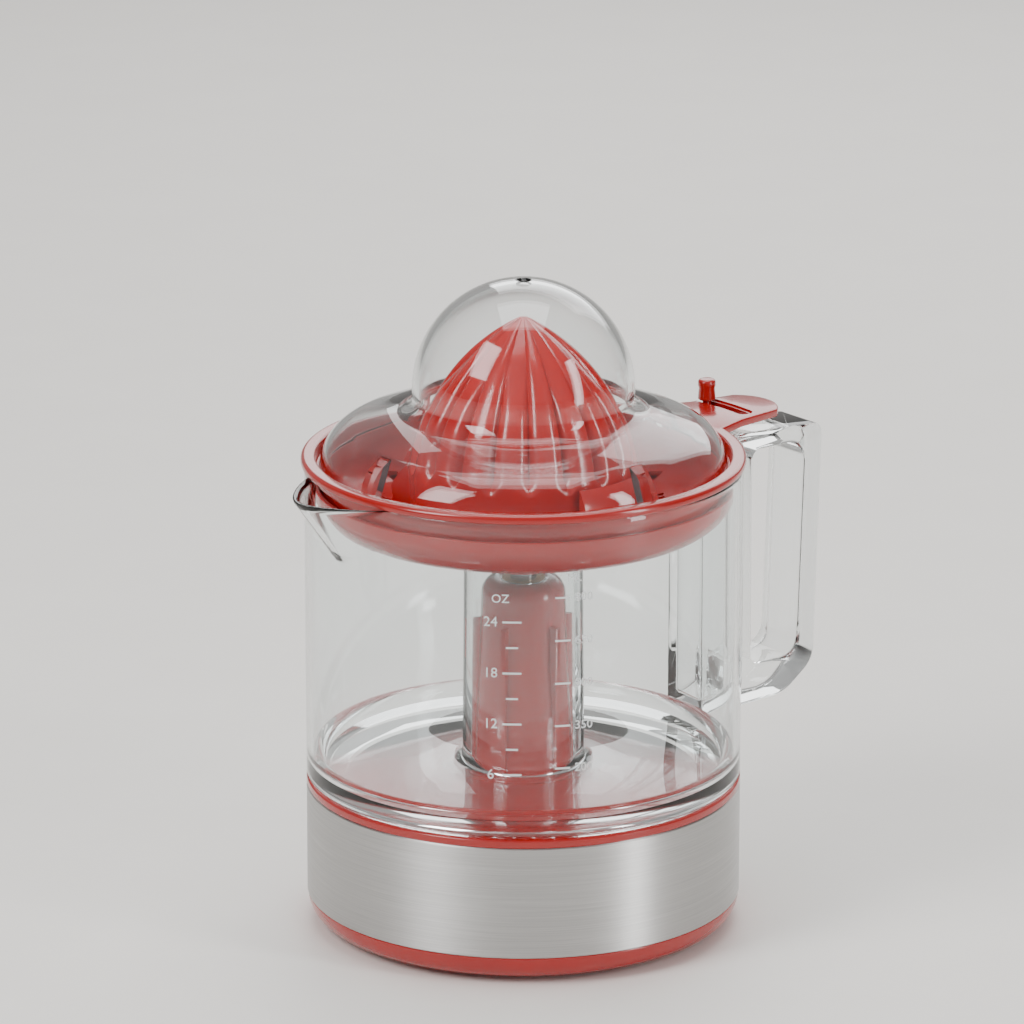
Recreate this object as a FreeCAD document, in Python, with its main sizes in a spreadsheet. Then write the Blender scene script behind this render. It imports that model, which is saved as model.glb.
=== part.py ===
import FreeCAD, Part
import math
import os
import re
import Sketcher

# Electric citrus juicer: a red motor base with a brushed steel band, a clear jug that drops over
# the base's tower, a red strainer with a turning pulp selector under it, a ribbed reamer cone on
# a sprung spindle, and a clear domed lid.  Millimetres, Z up, origin on the spindle axis at the
# surface the feet stand on, handle along +X.

doc = FreeCAD.newDocument("citrus_juicer")
sheet = doc.addObject("Spreadsheet::Sheet", "Sizes")

SIZES = [
    # base casing
    ("foot_height", 1.5, "rubber feet below the pan"),
    ("foot_radius", 7.0, "rubber foot"),
    ("foot_ring", 45.0, "feet stand on this radius"),
    ("pan_curve", 9.0, "rounded side of the pan, across"),
    ("pan_rise", 7.5, "rounded side of the pan"),
    ("pan_wall", 2.5, "floor of the pan"),
    ("pan_spigot", 5.0, "spigot that locates the casing"),
    ("band_height", 34.0, "steel band"),
    ("band_wall", 0.6, "steel sheet"),
    ("casing_wall", 2.3, "moulded wall behind the band"),
    ("ring_height", 2.7, "red ring above the band"),
    ("deck_wall", 2.5, "deck of the casing"),
    ("fit_gap", 0.3, "free gap between moulded parts"),
    ("running_gap", 0.04, "shaft in its bush"),
    # tower on the deck
    ("tower_foot_inset", 3.2, "tower's foot inside the jug's column"),
    ("tower_waist_inset", 4.3, "tower part way up, inside the column"),
    ("tower_waist_share", 0.4527, "tower part way up, share of its height"),
    ("tower_neck_inset", 5.5, "tower's neck inside the column"),
    ("tower_shoulder", 4.5, "rounded shoulder of the tower"),
    ("tower_top_inset", 9.2, "tower's top edge inside the column"),
    ("tower_headroom", 36.0, "top of the tower below the jug's rim"),
    ("tower_wall", 2.0, "wall of the tower"),
    # jug
    ("jug_radius", 65.0, "outside of the jug wall"),
    ("jug_wall", 2.0, "clear plastic"),
    ("jug_height", 96.3, "from its foot to its rim"),
    ("jug_floor_rise", 4.7, "upper face of the jug floor above its foot"),
    ("column_radius", 18.2, "hollow column in the jug"),
    ("column_drop", 23.5, "top of the column below the rim"),
    ("column_hole", 9.2, "hole for the cone's tube"),
    ("spout_reach", 14.8, "spout beyond the jug wall"),
    ("spout_root", 2.8, "sides of the spout start this far inside the jug wall"),
    ("spout_half_width", 22.2, "half width of the spout at the rim"),
    ("spout_drop", 20.0, "depth of the spout"),
    ("spout_turn", 176.0, "direction of the spout"),
    ("notch_depth", 2.4, "gap in the rim for the selector lever"),
    ("notch_half_width", 15.0, "half width of that gap"),
    # handle
    ("handle_width", 18.0, "across the handle"),
    ("handle_top_drop", 2.6, "handle's top below the rim"),
    ("handle_slope", 2.0, "fall of the handle's top"),
    ("handle_reach", 44.0, "handle beyond the jug wall at the top"),
    ("handle_lean", 2.5, "grip leans in by this at the bottom"),
    ("handle_foot", 5.3, "underside of the handle above the jug's foot"),
    ("grip_depth", 7.0, "thickness of the grip"),
    ("arm_depth", 13.5, "thickness of the lower arm"),
    ("upper_arm_depth", 6.0, "thickness of the upper arm"),
    ("leg_depth", 16.5, "closed leg beside the jug wall"),
    ("hole_corner", 7.0, "corner radius of the finger hole"),
    ("handle_round", 3.0, "corner radius at the handle's top"),
    ("handle_heel", 9.0, "corner radius at the handle's bottom"),
    # strainer
    ("lip_overhang", 1.0, "strainer's lip beyond the jug wall"),
    ("lip_thickness", 2.5, "lip on the jug's rim"),
    ("lip_wall", 1.1, "upright wall inside the lip"),
    ("jug_clearance", 0.3, "strainer inside the jug wall"),
    ("ledge_drop", 1.6, "lid ledge below the rim"),
    ("ledge_width", 2.8, "lid ledge"),
    ("ledge_thickness", 1.4, "under the lid ledge"),
    ("bowl_wall", 1.4, "strainer wall and floor"),
    ("bowl_side_drop", 5.7, "bowl side below the rim, where its curve starts"),
    ("bowl_depth", 18.7, "underside of the strainer floor below the rim"),
    ("bowl_slope", 18.2, "curved part of the strainer, across"),
    ("bowl_curve", 14.0, "curve between the bowl's side and floor"),
    ("hub_radius", 10.6, "strainer hub around the cone's tube"),
    ("hub_bore", 9.0, "bore of that hub"),
    ("hub_rise", 10.0, "hub above the strainer floor"),
    ("slot_inset", 5.0, "juice slots start this far inside the flat floor's edge"),
    ("slot_overrun", 4.0, "juice slots end this far beyond it"),
    ("slot_width", 1.6, "juice slots"),
    ("slot_count", 24, "juice slots"),
    ("window_size", 6.0, "square pulp windows"),
    ("window_offset", 11.0, "pulp windows beyond the flat floor's edge"),
    ("window_count", 8, "pulp windows"),
    ("window_turn", 7.0, "direction of the first window"),
    ("tab_root", 16.0, "half width of the tab at the lip"),
    ("tab_half_width", 10.5, "half width of the tab near its tip"),
    ("tab_length", 24.0, "round tip of the tab starts this far beyond the jug wall"),
    ("tab_tip_radius", 12.8, "round tip of the tab"),
    ("track_offset", 14.5, "arc slot in the tab beyond the jug wall"),
    ("track_width", 3.0, "arc slot in the tab"),
    ("track_start", -5.0, "arc slot, first end"),
    ("track_end", 8.3, "arc slot, second end"),
    ("lever_drop", 0.4, "top of the lever below the tab"),
    # pulp selector
    ("selector_wall", 1.2, "selector bowl"),
    ("selector_gap", 2.3, "selector floor below the strainer floor"),
    ("selector_rim_drop", 6.4, "selector rim below the jug's rim"),
    ("selector_side", 3.0, "upright side of the selector"),
    ("selector_slope", 1.0, "selector's flat floor ends this far inside the strainer's"),
    ("selector_curve", 14.0, "curve of the selector bowl"),
    ("collar_fit", 2.1, "collar round the column, with its wall"),
    ("collar_drop", 3.0, "collar below the selector floor"),
    ("lever_width", 7.0, "selector lever"),
    ("lever_thickness", 1.8, "selector lever"),
    ("lever_overhang", 17.5, "selector lever beyond the jug wall"),
    ("lever_turn", 7.5, "direction of the lever at rest"),
    ("peg_neck_radius", 1.3, "peg in the arc slot"),
    ("peg_radius", 2.7, "peg above the tab"),
    ("peg_rise", 6.7, "peg above the tab"),
    # reamer cone and wiper
    ("press_travel", 2.0, "the cone and spindle sink by this when pressed"),
    ("cone_radius", 33.5, "foot of the cone"),
    ("cone_wall", 1.8, "skirt of the cone"),
    ("cone_lift", 2.4, "skirt above the strainer floor"),
    ("cone_skirt", 14.0, "height of the skirt"),
    ("cone_height", 45.0, "ribbed cone above its skirt"),
    ("cone_tip_radius", 2.5, "blunt tip of the cone"),
    ("cone_curve", 62.0, "curve of the cone's flank"),
    ("groove_width", 1.8, "grooves between the ribs"),
    ("groove_depth", 3.2, "grooves between the ribs"),
    ("rib_count", 18, "ribs of the cone"),
    ("tube_radius", 7.75, "tube under the cone"),
    ("tube_drop", 18.0, "tube below the cone's skirt"),
    ("socket_radius", 5.6, "metal socket in that tube"),
    ("spindle_rise", 8.0, "spindle above the foot of the skirt"),
    ("wiper_gap", 0.6, "wiper around the cone's skirt"),
    ("wiper_width", 2.5, "ring of the wiper"),
    ("wiper_thickness", 2.0, "ring of the wiper"),
    ("ramp_reach", 5.9, "wiper ramps beyond the ring's bore"),
    ("ramp_edge", 9.6, "height of a ramp at its outer edge"),
    ("ramp_height", 17.6, "height of a ramp at the cone"),
    ("ramp_angle", 50.0, "arc of a ramp"),
    ("ramp_turn", -75.0, "direction of the first ramp"),
    ("lug_width", 3.4, "lugs that the cone turns the wiper by"),
    ("lug_rise", 4.0, "lugs above the foot of the cone"),
    # lid
    ("lid_gap", 0.9, "lid inside the strainer's lip"),
    ("lid_wall", 2.0, "clear plastic"),
    ("lid_edge_rise", 4.0, "upright edge of the lid"),
    ("lid_brow", 9.2, "lid's shoulder, in from its edge"),
    ("lid_shoulder_rise", 13.0, "height there"),
    ("lid_shoulder_curve", 13.0, "curve of the shoulder"),
    ("lid_step", 5.5, "inner end of the brim beyond the dome"),
    ("lid_brim_rise", 16.9, "height there"),
    ("lid_fillet", 5.0, "hollow curve up to the dome"),
    ("dome_radius", 33.0, "dome over the fruit"),
    ("dome_centre_rise", 24.0, "centre of the dome above the lid's edge"),
    ("dome_foot_drop", 2.4, "foot of the dome below its centre"),
    ("gusset_width", 4.5, "four gussets inside the lid"),
    ("gusset_turn", 1.0, "direction of the first gusset"),
    ("gusset_count", 4, "gussets inside the lid"),
    # drive
    ("plate_radius", 45.0, "gear plate"),
    ("plate_thickness", 2.0, "gear plate"),
    ("plate_height", 22.0, "underside of the gear plate"),
    ("plate_post_ring", 41.0, "posts that carry the gear plate"),
    ("plate_post_turn", 70.0, "direction of the first of them"),
    ("post_radius", 4.0, "posts under the deck"),
    ("pan_post_inset", 14.5, "posts that carry the pan, in from the jug wall"),
    ("screw_radius", 1.5, "self-tapping screws"),
    ("screw_length", 10.0, "self-tapping screws"),
    ("screw_head_radius", 3.0, "pan head"),
    ("screw_head_height", 1.0, "pan head"),
    ("gear_module", 0.8, "tooth size"),
    ("pinion_teeth", 10, "motor pinion, and the idler's pinion"),
    ("idler_teeth", 40, "idler wheel"),
    ("drive_teeth", 50, "drive gear"),
    ("idler_turn", 100.0, "direction of the idler from the spindle"),
    ("motor_ring", 28.0, "motor axis from the spindle"),
    ("idler_wheel_rise", 1.0, "idler wheel above the gear plate"),
    ("wheel_thickness", 4.5, "idler wheel"),
    ("drive_gear_rise", 7.0, "drive gear above the gear plate"),
    ("drive_gear_thickness", 6.0, "drive gear"),
    ("drive_hub_radius", 7.0, "hub of the drive gear"),
    ("drive_hub_height", 14.0, "hub of the drive gear"),
    ("idler_pin_radius", 2.0, "steel pin"),
    ("motor_radius", 22.0, "motor can"),
    ("motor_height", 17.0, "motor can"),
    ("motor_wall", 1.0, "motor can"),
    ("coil_radius", 12.0, "bore of the coil"),
    ("magnet_radius", 10.5, "rotor"),
    ("motor_shaft_radius", 1.5, "rotor shaft"),
    ("spindle_radius", 4.0, "steel spindle"),
    ("spindle_foot_radius", 3.2, "spindle in the gear plate"),
    ("spindle_foot_drop", 2.5, "spindle below the gear plate"),
    ("hex_gap", 0.1, "hexagon in its socket"),
    ("bush_radius", 6.5, "bronze bush"),
    ("bush_height", 8.0, "bronze bush"),
    ("flange_radius", 6.8, "spring collar on the spindle"),
    ("block_across", 8.0, "corner of the terminal block, X"),
    ("block_along", 38.0, "corner of the terminal block, Y"),
    ("block_length", 16.0, "terminal block"),
    ("block_width", 8.0, "terminal block"),
    ("block_height", 8.0, "terminal block"),
    ("well_radius", 2.0, "two screw wells in it"),
    ("spring_radius", 5.6, "mean radius of the return spring"),
    ("spring_wire", 0.9, "return spring"),
    ("spring_turns", 4.5, "return spring"),
    ("spring_height", 12.0, "return spring"),
    ("switch_length", 20.0, "micro switch"),
    ("switch_width", 6.4, "micro switch"),
    ("button_radius", 1.6, "switch button"),
    ("gland_height", 20.0, "cord gland above the floor"),
    ("gland_radius", 4.5, "neck of the cord gland"),
    ("cord_radius", 3.1, "bore of the cord gland"),
]
for line, (alias, number, note) in enumerate(SIZES, start=1):
    sheet.set(f"A{line}", alias)
    sheet.set(f"B{line}", str(number))
    sheet.set(f"C{line}", note)
    sheet.setAlias(f"B{line}", alias)
doc.recompute()

ALIASES = {alias for alias, _, _ in SIZES}
# Levels and radii worked out from the sizes above.
DERIVED = {
    "lip_radius": "jug_radius + lip_overhang",
    "pan_flat_radius": "jug_radius - pan_curve",
    "pan_post_ring": "jug_radius - pan_post_inset",
    "tab_reach": "jug_radius + tab_length",
    "track_radius": "jug_radius + track_offset",
    "lever_reach": "jug_radius + lever_overhang",
    "lid_shoulder_radius": "lid_radius - lid_brow",
    "lid_brim_radius": "dome_radius + lid_step",
    "bowl_floor_radius": "side_radius - bowl_slope",
    "selector_floor_radius": "bowl_floor_radius - selector_slope",
    "slot_start_radius": "bowl_floor_radius - slot_inset",
    "slot_end_radius": "bowl_floor_radius + slot_overrun",
    "window_ring": "bowl_floor_radius + window_offset",
    "tower_rise": "jug_height - tower_headroom",
    "tower_waist_rise": "tower_rise * tower_waist_share",
    "tower_neck_rise": "tower_rise - tower_shoulder",
    "tower_foot_radius": "column_radius - tower_foot_inset",
    "tower_waist_radius": "column_radius - tower_waist_inset",
    "tower_neck_radius": "column_radius - tower_neck_inset",
    "tower_top_radius": "column_radius - tower_top_inset",
    "collar_radius": "column_radius + collar_fit",
    "pan_top": "foot_height + pan_rise",
    "band_top": "pan_top + band_height",
    "deck_top": "band_top + ring_height",
    "deck_under": "deck_top - deck_wall",
    "pan_radius": "jug_radius - 0.2",
    "casing_radius": "jug_radius - band_wall - 0.2",
    "casing_bore": "casing_radius - casing_wall",
    "spigot_radius": "casing_bore - fit_gap",
    "rim": "deck_top + jug_height",
    "jug_bore": "jug_radius - jug_wall",
    "jug_floor": "deck_top + jug_floor_rise",
    "column_top": "rim - column_drop",
    "column_bore": "column_radius - jug_wall",
    "lip_top": "rim + lip_thickness",
    "bowl_radius": "jug_bore - jug_clearance",
    "lip_bore": "bowl_radius - lip_wall",
    "ledge_top": "rim - ledge_drop",
    "ledge_under": "ledge_top - ledge_thickness",
    "ledge_bore": "lip_bore - ledge_width",
    "side_radius": "ledge_bore + bowl_wall",
    "bowl_under": "rim - bowl_depth",
    "bowl_floor": "bowl_under + bowl_wall",
    "selector_under": "bowl_under - selector_gap",
    "selector_radius": "bowl_radius - 0.5",
    "selector_rim": "rim - selector_rim_drop",
    "skirt_under": "bowl_floor + cone_lift",
    "skirt_top": "skirt_under + cone_skirt",
    "cone_top": "skirt_top + cone_height",
    "tube_under": "skirt_under - tube_drop",
    "spindle_top": "skirt_under + spindle_rise",
    "lid_radius": "lip_bore - lid_gap",
    "wiper_bore": "cone_radius + wiper_gap",
    "plate_top": "plate_height + plate_thickness",
    "tower_top": "deck_top + tower_rise",
    "idler_ring": "gear_module * (drive_teeth + pinion_teeth) / 2",
    "motor_reach": "gear_module * (idler_teeth + pinion_teeth) / 2",
    "motor_turn": "idler_turn + acos((idler_ring ^ 2 + motor_ring ^ 2 - motor_reach ^ 2)"
                  " / (2 * idler_ring * motor_ring)) / 1deg",
    "motor_foot": "plate_height - motor_height",
    "hub_top": "plate_top + drive_hub_height",
    "spring_top": "hub_top + spring_height",
    "spindle_foot": "plate_height - spindle_foot_drop",
    "button_top": "spindle_foot - fit_gap",
    "switch_top": "button_top - press_travel - 0.7",
    "pan_floor": "foot_height + pan_wall",
}


def spell(expression):
    """Write an expression out in the spreadsheet's own aliases."""
    def swap(found):
        word = found.group(0)
        if word in DERIVED:
            return "(" + spell(DERIVED[word]) + ")"
        return "Sizes." + word if word in ALIASES else word
    return re.sub(r"[a-z_]+[a-z]", swap, expression)


def size(expression):
    return float(sheet.evalExpression(spell(expression)))


def bind(thing, **settings):
    """Tie properties to the spreadsheet; a double underscore stands for a dot in a path."""
    for path, expression in settings.items():
        thing.setExpression(path.replace("__", "."), spell(expression))


def new_body(node):
    body = doc.addObject("PartDesign::Body", node)
    body.Label = node
    body.AllowCompound = True
    return body


def plane(body, role):
    return next(item for item in body.Origin.OriginFeatures if item.Role == role)


def new_sketch(body, label, role, lift=None):
    sketch = body.newObject("Sketcher::SketchObject", f"{body.Name}_{label}")
    sketch.AttachmentSupport = [(plane(body, role), "")]
    sketch.MapMode = "FlatFace"
    if lift:
        bind(sketch, AttachmentOffset__Base__z=lift)
    return sketch


def arc_between(first, last, radius):
    """Arc of a signed radius: positive bulges to the right of the way from first to last."""
    chord = last - first
    reach = max(radius * radius - chord.Length ** 2 / 4, 0.0)
    side = FreeCAD.Vector(-chord.y, chord.x, 0).normalize() * math.copysign(1, radius)
    centre = (first + last) / 2 + side * math.sqrt(reach)
    forward = radius > 0
    ends = (first, last) if forward else (last, first)
    start, stop = (math.atan2(end.y - centre.y, end.x - centre.x) for end in ends)
    circle = Part.Circle(centre, FreeCAD.Vector(0, 0, 1), abs(radius))
    return Part.ArcOfCircle(circle, start, stop), forward


def draw(sketch, points):
    """Closed outline of (across, up) points; a third item is the arc radius on the way to it."""
    corners = [FreeCAD.Vector(size(point[0]), size(point[1]), 0) for point in points]
    ends = []
    for index, corner in enumerate(corners):
        target = (index + 1) % len(points)
        if len(points[target]) == 3:
            radius = points[target][2]
            arc, forward = arc_between(corner, corners[target], size(radius))
            edge = sketch.addGeometry(arc, False)
            limit = sketch.addConstraint(Sketcher.Constraint("Radius", edge, abs(size(radius))))
            sketch.setExpression(f"Constraints[{limit}]", f"abs({spell(radius)})")
            ends.append((edge, 1, 2) if forward else (edge, 2, 1))
        else:
            edge = sketch.addGeometry(Part.LineSegment(corner, corners[target]), False)
            ends.append((edge, 1, 2))
    for index, (edge, start, _) in enumerate(ends):
        before, _, stop = ends[index - 1]
        sketch.addConstraint(Sketcher.Constraint("Coincident", before, stop, edge, start))
        across, up = points[index][:2]
        for way, expression in (("DistanceX", across), ("DistanceY", up)):
            limit = sketch.addConstraint(Sketcher.Constraint(way, -1, 1, edge, start, size(expression)))
            sketch.setExpression(f"Constraints[{limit}]", spell(expression))
    return sketch


def draw_circles(sketch, circles):
    for across, up, radius in circles:
        centre = FreeCAD.Vector(size(across), size(up), 0)
        edge = sketch.addGeometry(Part.Circle(centre, FreeCAD.Vector(0, 0, 1), size(radius)), False)
        for way, expression in (("DistanceX", across), ("DistanceY", up)):
            limit = sketch.addConstraint(Sketcher.Constraint(way, -1, 1, edge, 3, size(expression)))
            sketch.setExpression(f"Constraints[{limit}]", spell(expression))
        limit = sketch.addConstraint(Sketcher.Constraint("Radius", edge, size(radius)))
        sketch.setExpression(f"Constraints[{limit}]", spell(radius))
    return sketch


def turn_profile(body, label, points, angle=None):
    sketch = draw(new_sketch(body, label + "_profile", "XZ_Plane"), points)
    feature = body.newObject("PartDesign::Revolution", f"{body.Name}_{label}")
    feature.Profile = sketch
    feature.ReferenceAxis = (sketch, ["V_Axis"])
    feature.Angle = 360
    if angle:
        bind(feature, Angle=angle)
        feature.Midplane = True
    sketch.Visibility = False
    return feature


def lathe(node, points):
    """A turned piece: a closed (radius, height) outline spun about the Z axis."""
    body = new_body(node)
    turn_profile(body, "turned", points)
    return body


def extrude(body, label, sketch, length, up=True, cut=False, both=False):
    """Pad or pocket a sketch, and check that it adds or removes material."""
    doc.recompute()
    before = body.Shape.Volume if body.Tip else 0.0
    feature = body.newObject("PartDesign::" + ("Pocket" if cut else "Pad"), f"{body.Name}_{label}")
    feature.Profile = sketch
    bind(feature, Length=length)
    if both:
        feature.SideType = "Symmetric"
    else:
        feature.Reversed = up if cut else not up
    sketch.Visibility = False
    doc.recompute()
    change = body.Shape.Volume - before
    if (change >= 0) == cut:
        raise RuntimeError(f"{feature.Name} changed nothing")
    return feature


def ring_copies(body, features, count, label, axis="N_Axis"):
    """Repeat features evenly about the Z axis."""
    pattern = body.newObject("PartDesign::PolarPattern", f"{body.Name}_{label}")
    pattern.Originals = features
    pattern.Axis = (features[0].Profile[0], [axis])
    pattern.Angle = 360
    bind(pattern, Occurrences=count)
    body.Tip = pattern
    doc.recompute()
    return pattern


def polar(ring, turn):
    return f"({ring}) * cos({turn})", f"({ring}) * sin({turn})"


def drill(body, label, circles, start, length, up=True):
    sketch = draw_circles(new_sketch(body, label + "_circles", "XY_Plane", start), circles)
    return extrude(body, label, sketch, length, up=up, cut=True)


def place(body, ring, turn):
    across, along = polar(ring, turn)
    bind(body, Placement__Base__x=across, Placement__Base__y=along)


def spin(thing, turn):
    """Turn a piece about the Z axis."""
    thing.Placement = FreeCAD.Placement(FreeCAD.Vector(), FreeCAD.Rotation(FreeCAD.Vector(0, 0, 1), 1))
    bind(thing, Placement__Rotation__Angle=turn)


# ---------------------------------------------------------------- base casing

def make_base_pan():
    body = lathe("base_pan", [
        ("0", "foot_height"),
        ("pan_flat_radius", "foot_height"),
        ("pan_radius", "pan_top", "pan_rise * 1.25"),
        ("spigot_radius", "pan_top"),
        ("spigot_radius", "pan_top + pan_spigot"),
        ("spigot_radius - casing_wall", "pan_top + pan_spigot"),
        ("spigot_radius - casing_wall", "pan_top"),
        ("pan_flat_radius - 1", "foot_height + pan_wall", "0 - pan_rise"),
        ("0", "foot_height + pan_wall"),
    ])
    for label, radius, depth in (("hole", "screw_radius + 0.2", "pan_wall"),
                                 ("recess", "screw_head_radius + 0.4", "screw_head_height + 0.2")):
        drilled = drill(body, label, [("pan_post_ring", "0", radius)], "foot_height", depth)
        ring_copies(body, [drilled], "4", label + "s")


def make_screws(node, count, ring, first_turn, head_under):
    """One group of identical pan head screws, driven upwards."""
    body = new_body(node)
    across, along = polar(ring, first_turn)
    features = []
    for label, radius, under, length in (
            ("shank", "screw_radius", head_under + " + screw_head_height", "screw_length"),
            ("head", "screw_head_radius", head_under, "screw_head_height")):
        sketch = draw_circles(new_sketch(body, label + "_circle", "XY_Plane", under),
                              [(across, along, radius)])
        features.append(extrude(body, label, sketch, length))
    ring_copies(body, features, count, "ring")


def make_feet():
    body = new_body("rubber_feet")
    across, along = polar("foot_ring", "45")
    sketch = draw_circles(new_sketch(body, "circle", "XY_Plane"), [(across, along, "foot_radius")])
    ring_copies(body, [extrude(body, "foot", sketch, "foot_height")], "4", "feet")


def make_steel_band():
    body = lathe("steel_band", [
        ("jug_radius - band_wall", "pan_top"),
        ("jug_radius", "pan_top"),
        ("jug_radius", "band_top"),
        ("jug_radius - band_wall", "band_top"),
    ])
    cut_gland_hole(body)


def cut_gland_hole(body):
    sketch = draw_circles(new_sketch(body, "gland_circle", "XZ_Plane"),
                          [("0", "gland_height", "gland_radius")])
    extrude(body, "gland_hole", sketch, "jug_radius + 5", up=False, cut=True)


def make_motor_housing():
    body = lathe("motor_housing", [
        ("casing_bore", "pan_top"),
        ("casing_radius", "pan_top"),
        ("casing_radius", "band_top"),
        ("jug_radius", "band_top"),
        ("jug_radius", "deck_top"),
        ("tower_foot_radius", "deck_top"),
        ("tower_waist_radius", "deck_top + tower_waist_rise"),
        ("tower_neck_radius", "deck_top + tower_neck_rise"),
        ("tower_top_radius", "tower_top"),
        ("bush_radius", "tower_top"),
        ("bush_radius", "tower_top - bush_height"),
        ("tower_neck_radius - tower_wall", "tower_top - bush_height"),
        ("tower_foot_radius - tower_wall", "deck_under"),
        ("casing_bore", "deck_under"),
    ])
    cut_gland_hole(body)
    for label, ring, turn, under, count in (
            ("pan_post", "pan_post_ring", "0", "foot_height + pan_wall", "4"),
            ("plate_post", "plate_post_ring", "plate_post_turn", "plate_top", "3")):
        across, along = polar(ring, turn)
        post = draw_circles(new_sketch(body, label + "_circle", "XY_Plane", under),
                            [(across, along, "post_radius")])
        post = extrude(body, label, post, f"deck_under + 1 - ({under})")
        pilot = drill(body, label + "_pilot", [(across, along, "screw_radius")], under,
                      "screw_length + 1")
        ring_copies(body, [post, pilot], count, label + "s")


def make_bush():
    lathe("upper_bush", [
        ("spindle_radius + running_gap", "tower_top - bush_height"),
        ("bush_radius", "tower_top - bush_height"),
        ("bush_radius", "tower_top"),
        ("spindle_radius + running_gap", "tower_top"),
    ])


def make_cord_gland():
    body = lathe("cord_gland", [
        ("cord_radius", "casing_bore - 2.4"),
        ("gland_radius + 1.5", "casing_bore - 2.4"),
        ("gland_radius + 1.5", "casing_bore - 0.8"),
        ("gland_radius", "casing_bore - 0.8"),
        ("gland_radius", "jug_radius + 0.2"),
        ("gland_radius + 1.5", "jug_radius + 0.2"),
        ("gland_radius + 1", "jug_radius + 1.6"),
        ("cord_radius", "jug_radius + 1.6"),
    ])
    body.Placement = FreeCAD.Placement(FreeCAD.Vector(), FreeCAD.Rotation(FreeCAD.Vector(1, 0, 0), -90))
    bind(body, Placement__Base__z="gland_height")


# ---------------------------------------------------------------- jug

def make_jug():
    body = lathe("jug", [
        ("jug_bore", "deck_top"),
        ("jug_radius", "deck_top"),
        ("jug_radius", "rim"),
        ("jug_bore", "rim"),
        ("jug_bore", "jug_floor"),
        ("column_radius", "jug_floor"),
        ("column_radius", "column_top"),
        ("column_hole", "column_top"),
        ("column_hole", "column_top - jug_wall"),
        ("column_bore", "column_top - jug_wall"),
        ("column_bore", "jug_floor - jug_wall - 0.8"),
        ("jug_bore", "jug_floor - jug_wall - 0.8"),
    ])
    make_spout(body)
    notch = draw(new_sketch(body, "notch_outline", "XY_Plane", "rim - notch_depth"),
                 box_outline("jug_bore - 4", "jug_radius + 1", "notch_half_width"))
    extrude(body, "notch", notch, "notch_depth + 1", cut=True)


def turned(across, along, turn):
    """A point of the plan, turned about the Z axis."""
    return (f"({across}) * cos({turn}) - ({along}) * sin({turn})",
            f"({across}) * sin({turn}) + ({along}) * cos({turn})")


def box_outline(near, far, half):
    return [(near, f"0 - ({half})"), (far, f"0 - ({half})"), (far, half), (near, half)]


def make_spout(body):
    """A three-sided beak that runs down to a point on the wall, and the throat inside it."""
    for label, kind, wall in (("beak", "AdditiveLoft", "0"), ("throat", "SubtractiveLoft", "jug_wall")):
        sections = []
        for name, share, lift in (("mouth", "1", "rim"), ("point", "0.04", f"rim - spout_drop + 2 * {wall}")):
            sketch = new_sketch(body, f"{label}_{name}", "XY_Plane", lift)
            root = f"jug_radius - 0.8 - spout_root * {share} - 1.6 * {wall} * {share}"
            tip = f"jug_radius - 0.4 + (spout_reach + 0.4) * {share} - 1.3 * {wall} * {share}"
            half = f"(spout_half_width - {wall}) * {share}"
            draw(sketch, [turned(root, f"0 - {half}", "spout_turn"), turned(tip, "0", "spout_turn"),
                          turned(root, half, "spout_turn")])
            sections.append(sketch)
        doc.recompute()
        loft = body.newObject("PartDesign::" + kind, "jug_" + label)
        loft.Profile = sections[0]
        loft.Sections = [sections[1]]
        doc.recompute()


def make_handle():
    """A flat clear handle with a closed leg beside the jug wall and a finger hole."""
    body = new_body("jug_handle")
    top = "rim - handle_top_drop"
    outside = "jug_radius + handle_reach"
    foot = "deck_top + handle_foot"
    outline = draw(new_sketch(body, "outline", "XZ_Plane"), [
        ("jug_radius - 5", foot),
        (f"{outside} - handle_lean - handle_heel * 2.2", f"{foot} + 1.5"),
        (f"{outside} - handle_lean", f"{foot} + handle_heel * 1.6", "handle_heel * 1.9"),
        (outside, f"{top} - handle_slope - handle_round"),
        (f"{outside} - handle_round", f"{top} - handle_slope", "handle_round"),
        ("jug_radius - 5", top),
    ])
    extrude(body, "slab", outline, "handle_width", both=True)
    inner = "jug_radius + leg_depth"
    outer = f"{outside} - grip_depth"
    floor = f"{foot} + arm_depth"
    ceiling = f"{top} - handle_slope / 2 - upper_arm_depth"
    hole = draw(new_sketch(body, "hole_outline", "XZ_Plane"), [
        (inner, floor),
        (f"{outer} - handle_lean - hole_corner", floor),
        (f"{outer} - handle_lean", f"{floor} + hole_corner", "hole_corner"),
        (outer, f"{ceiling} - hole_corner"),
        (f"{outer} - hole_corner", ceiling, "hole_corner"),
        (inner, ceiling),
    ])
    extrude(body, "finger_hole", hole, "handle_width + 2", cut=True, both=True)
    wall = draw_circles(new_sketch(body, "wall_circle", "XY_Plane"), [("0", "0", "jug_radius")])
    extrude(body, "wall", wall, "rim + 10", up=True, cut=True)


# ---------------------------------------------------------------- strainer and pulp selector

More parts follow.
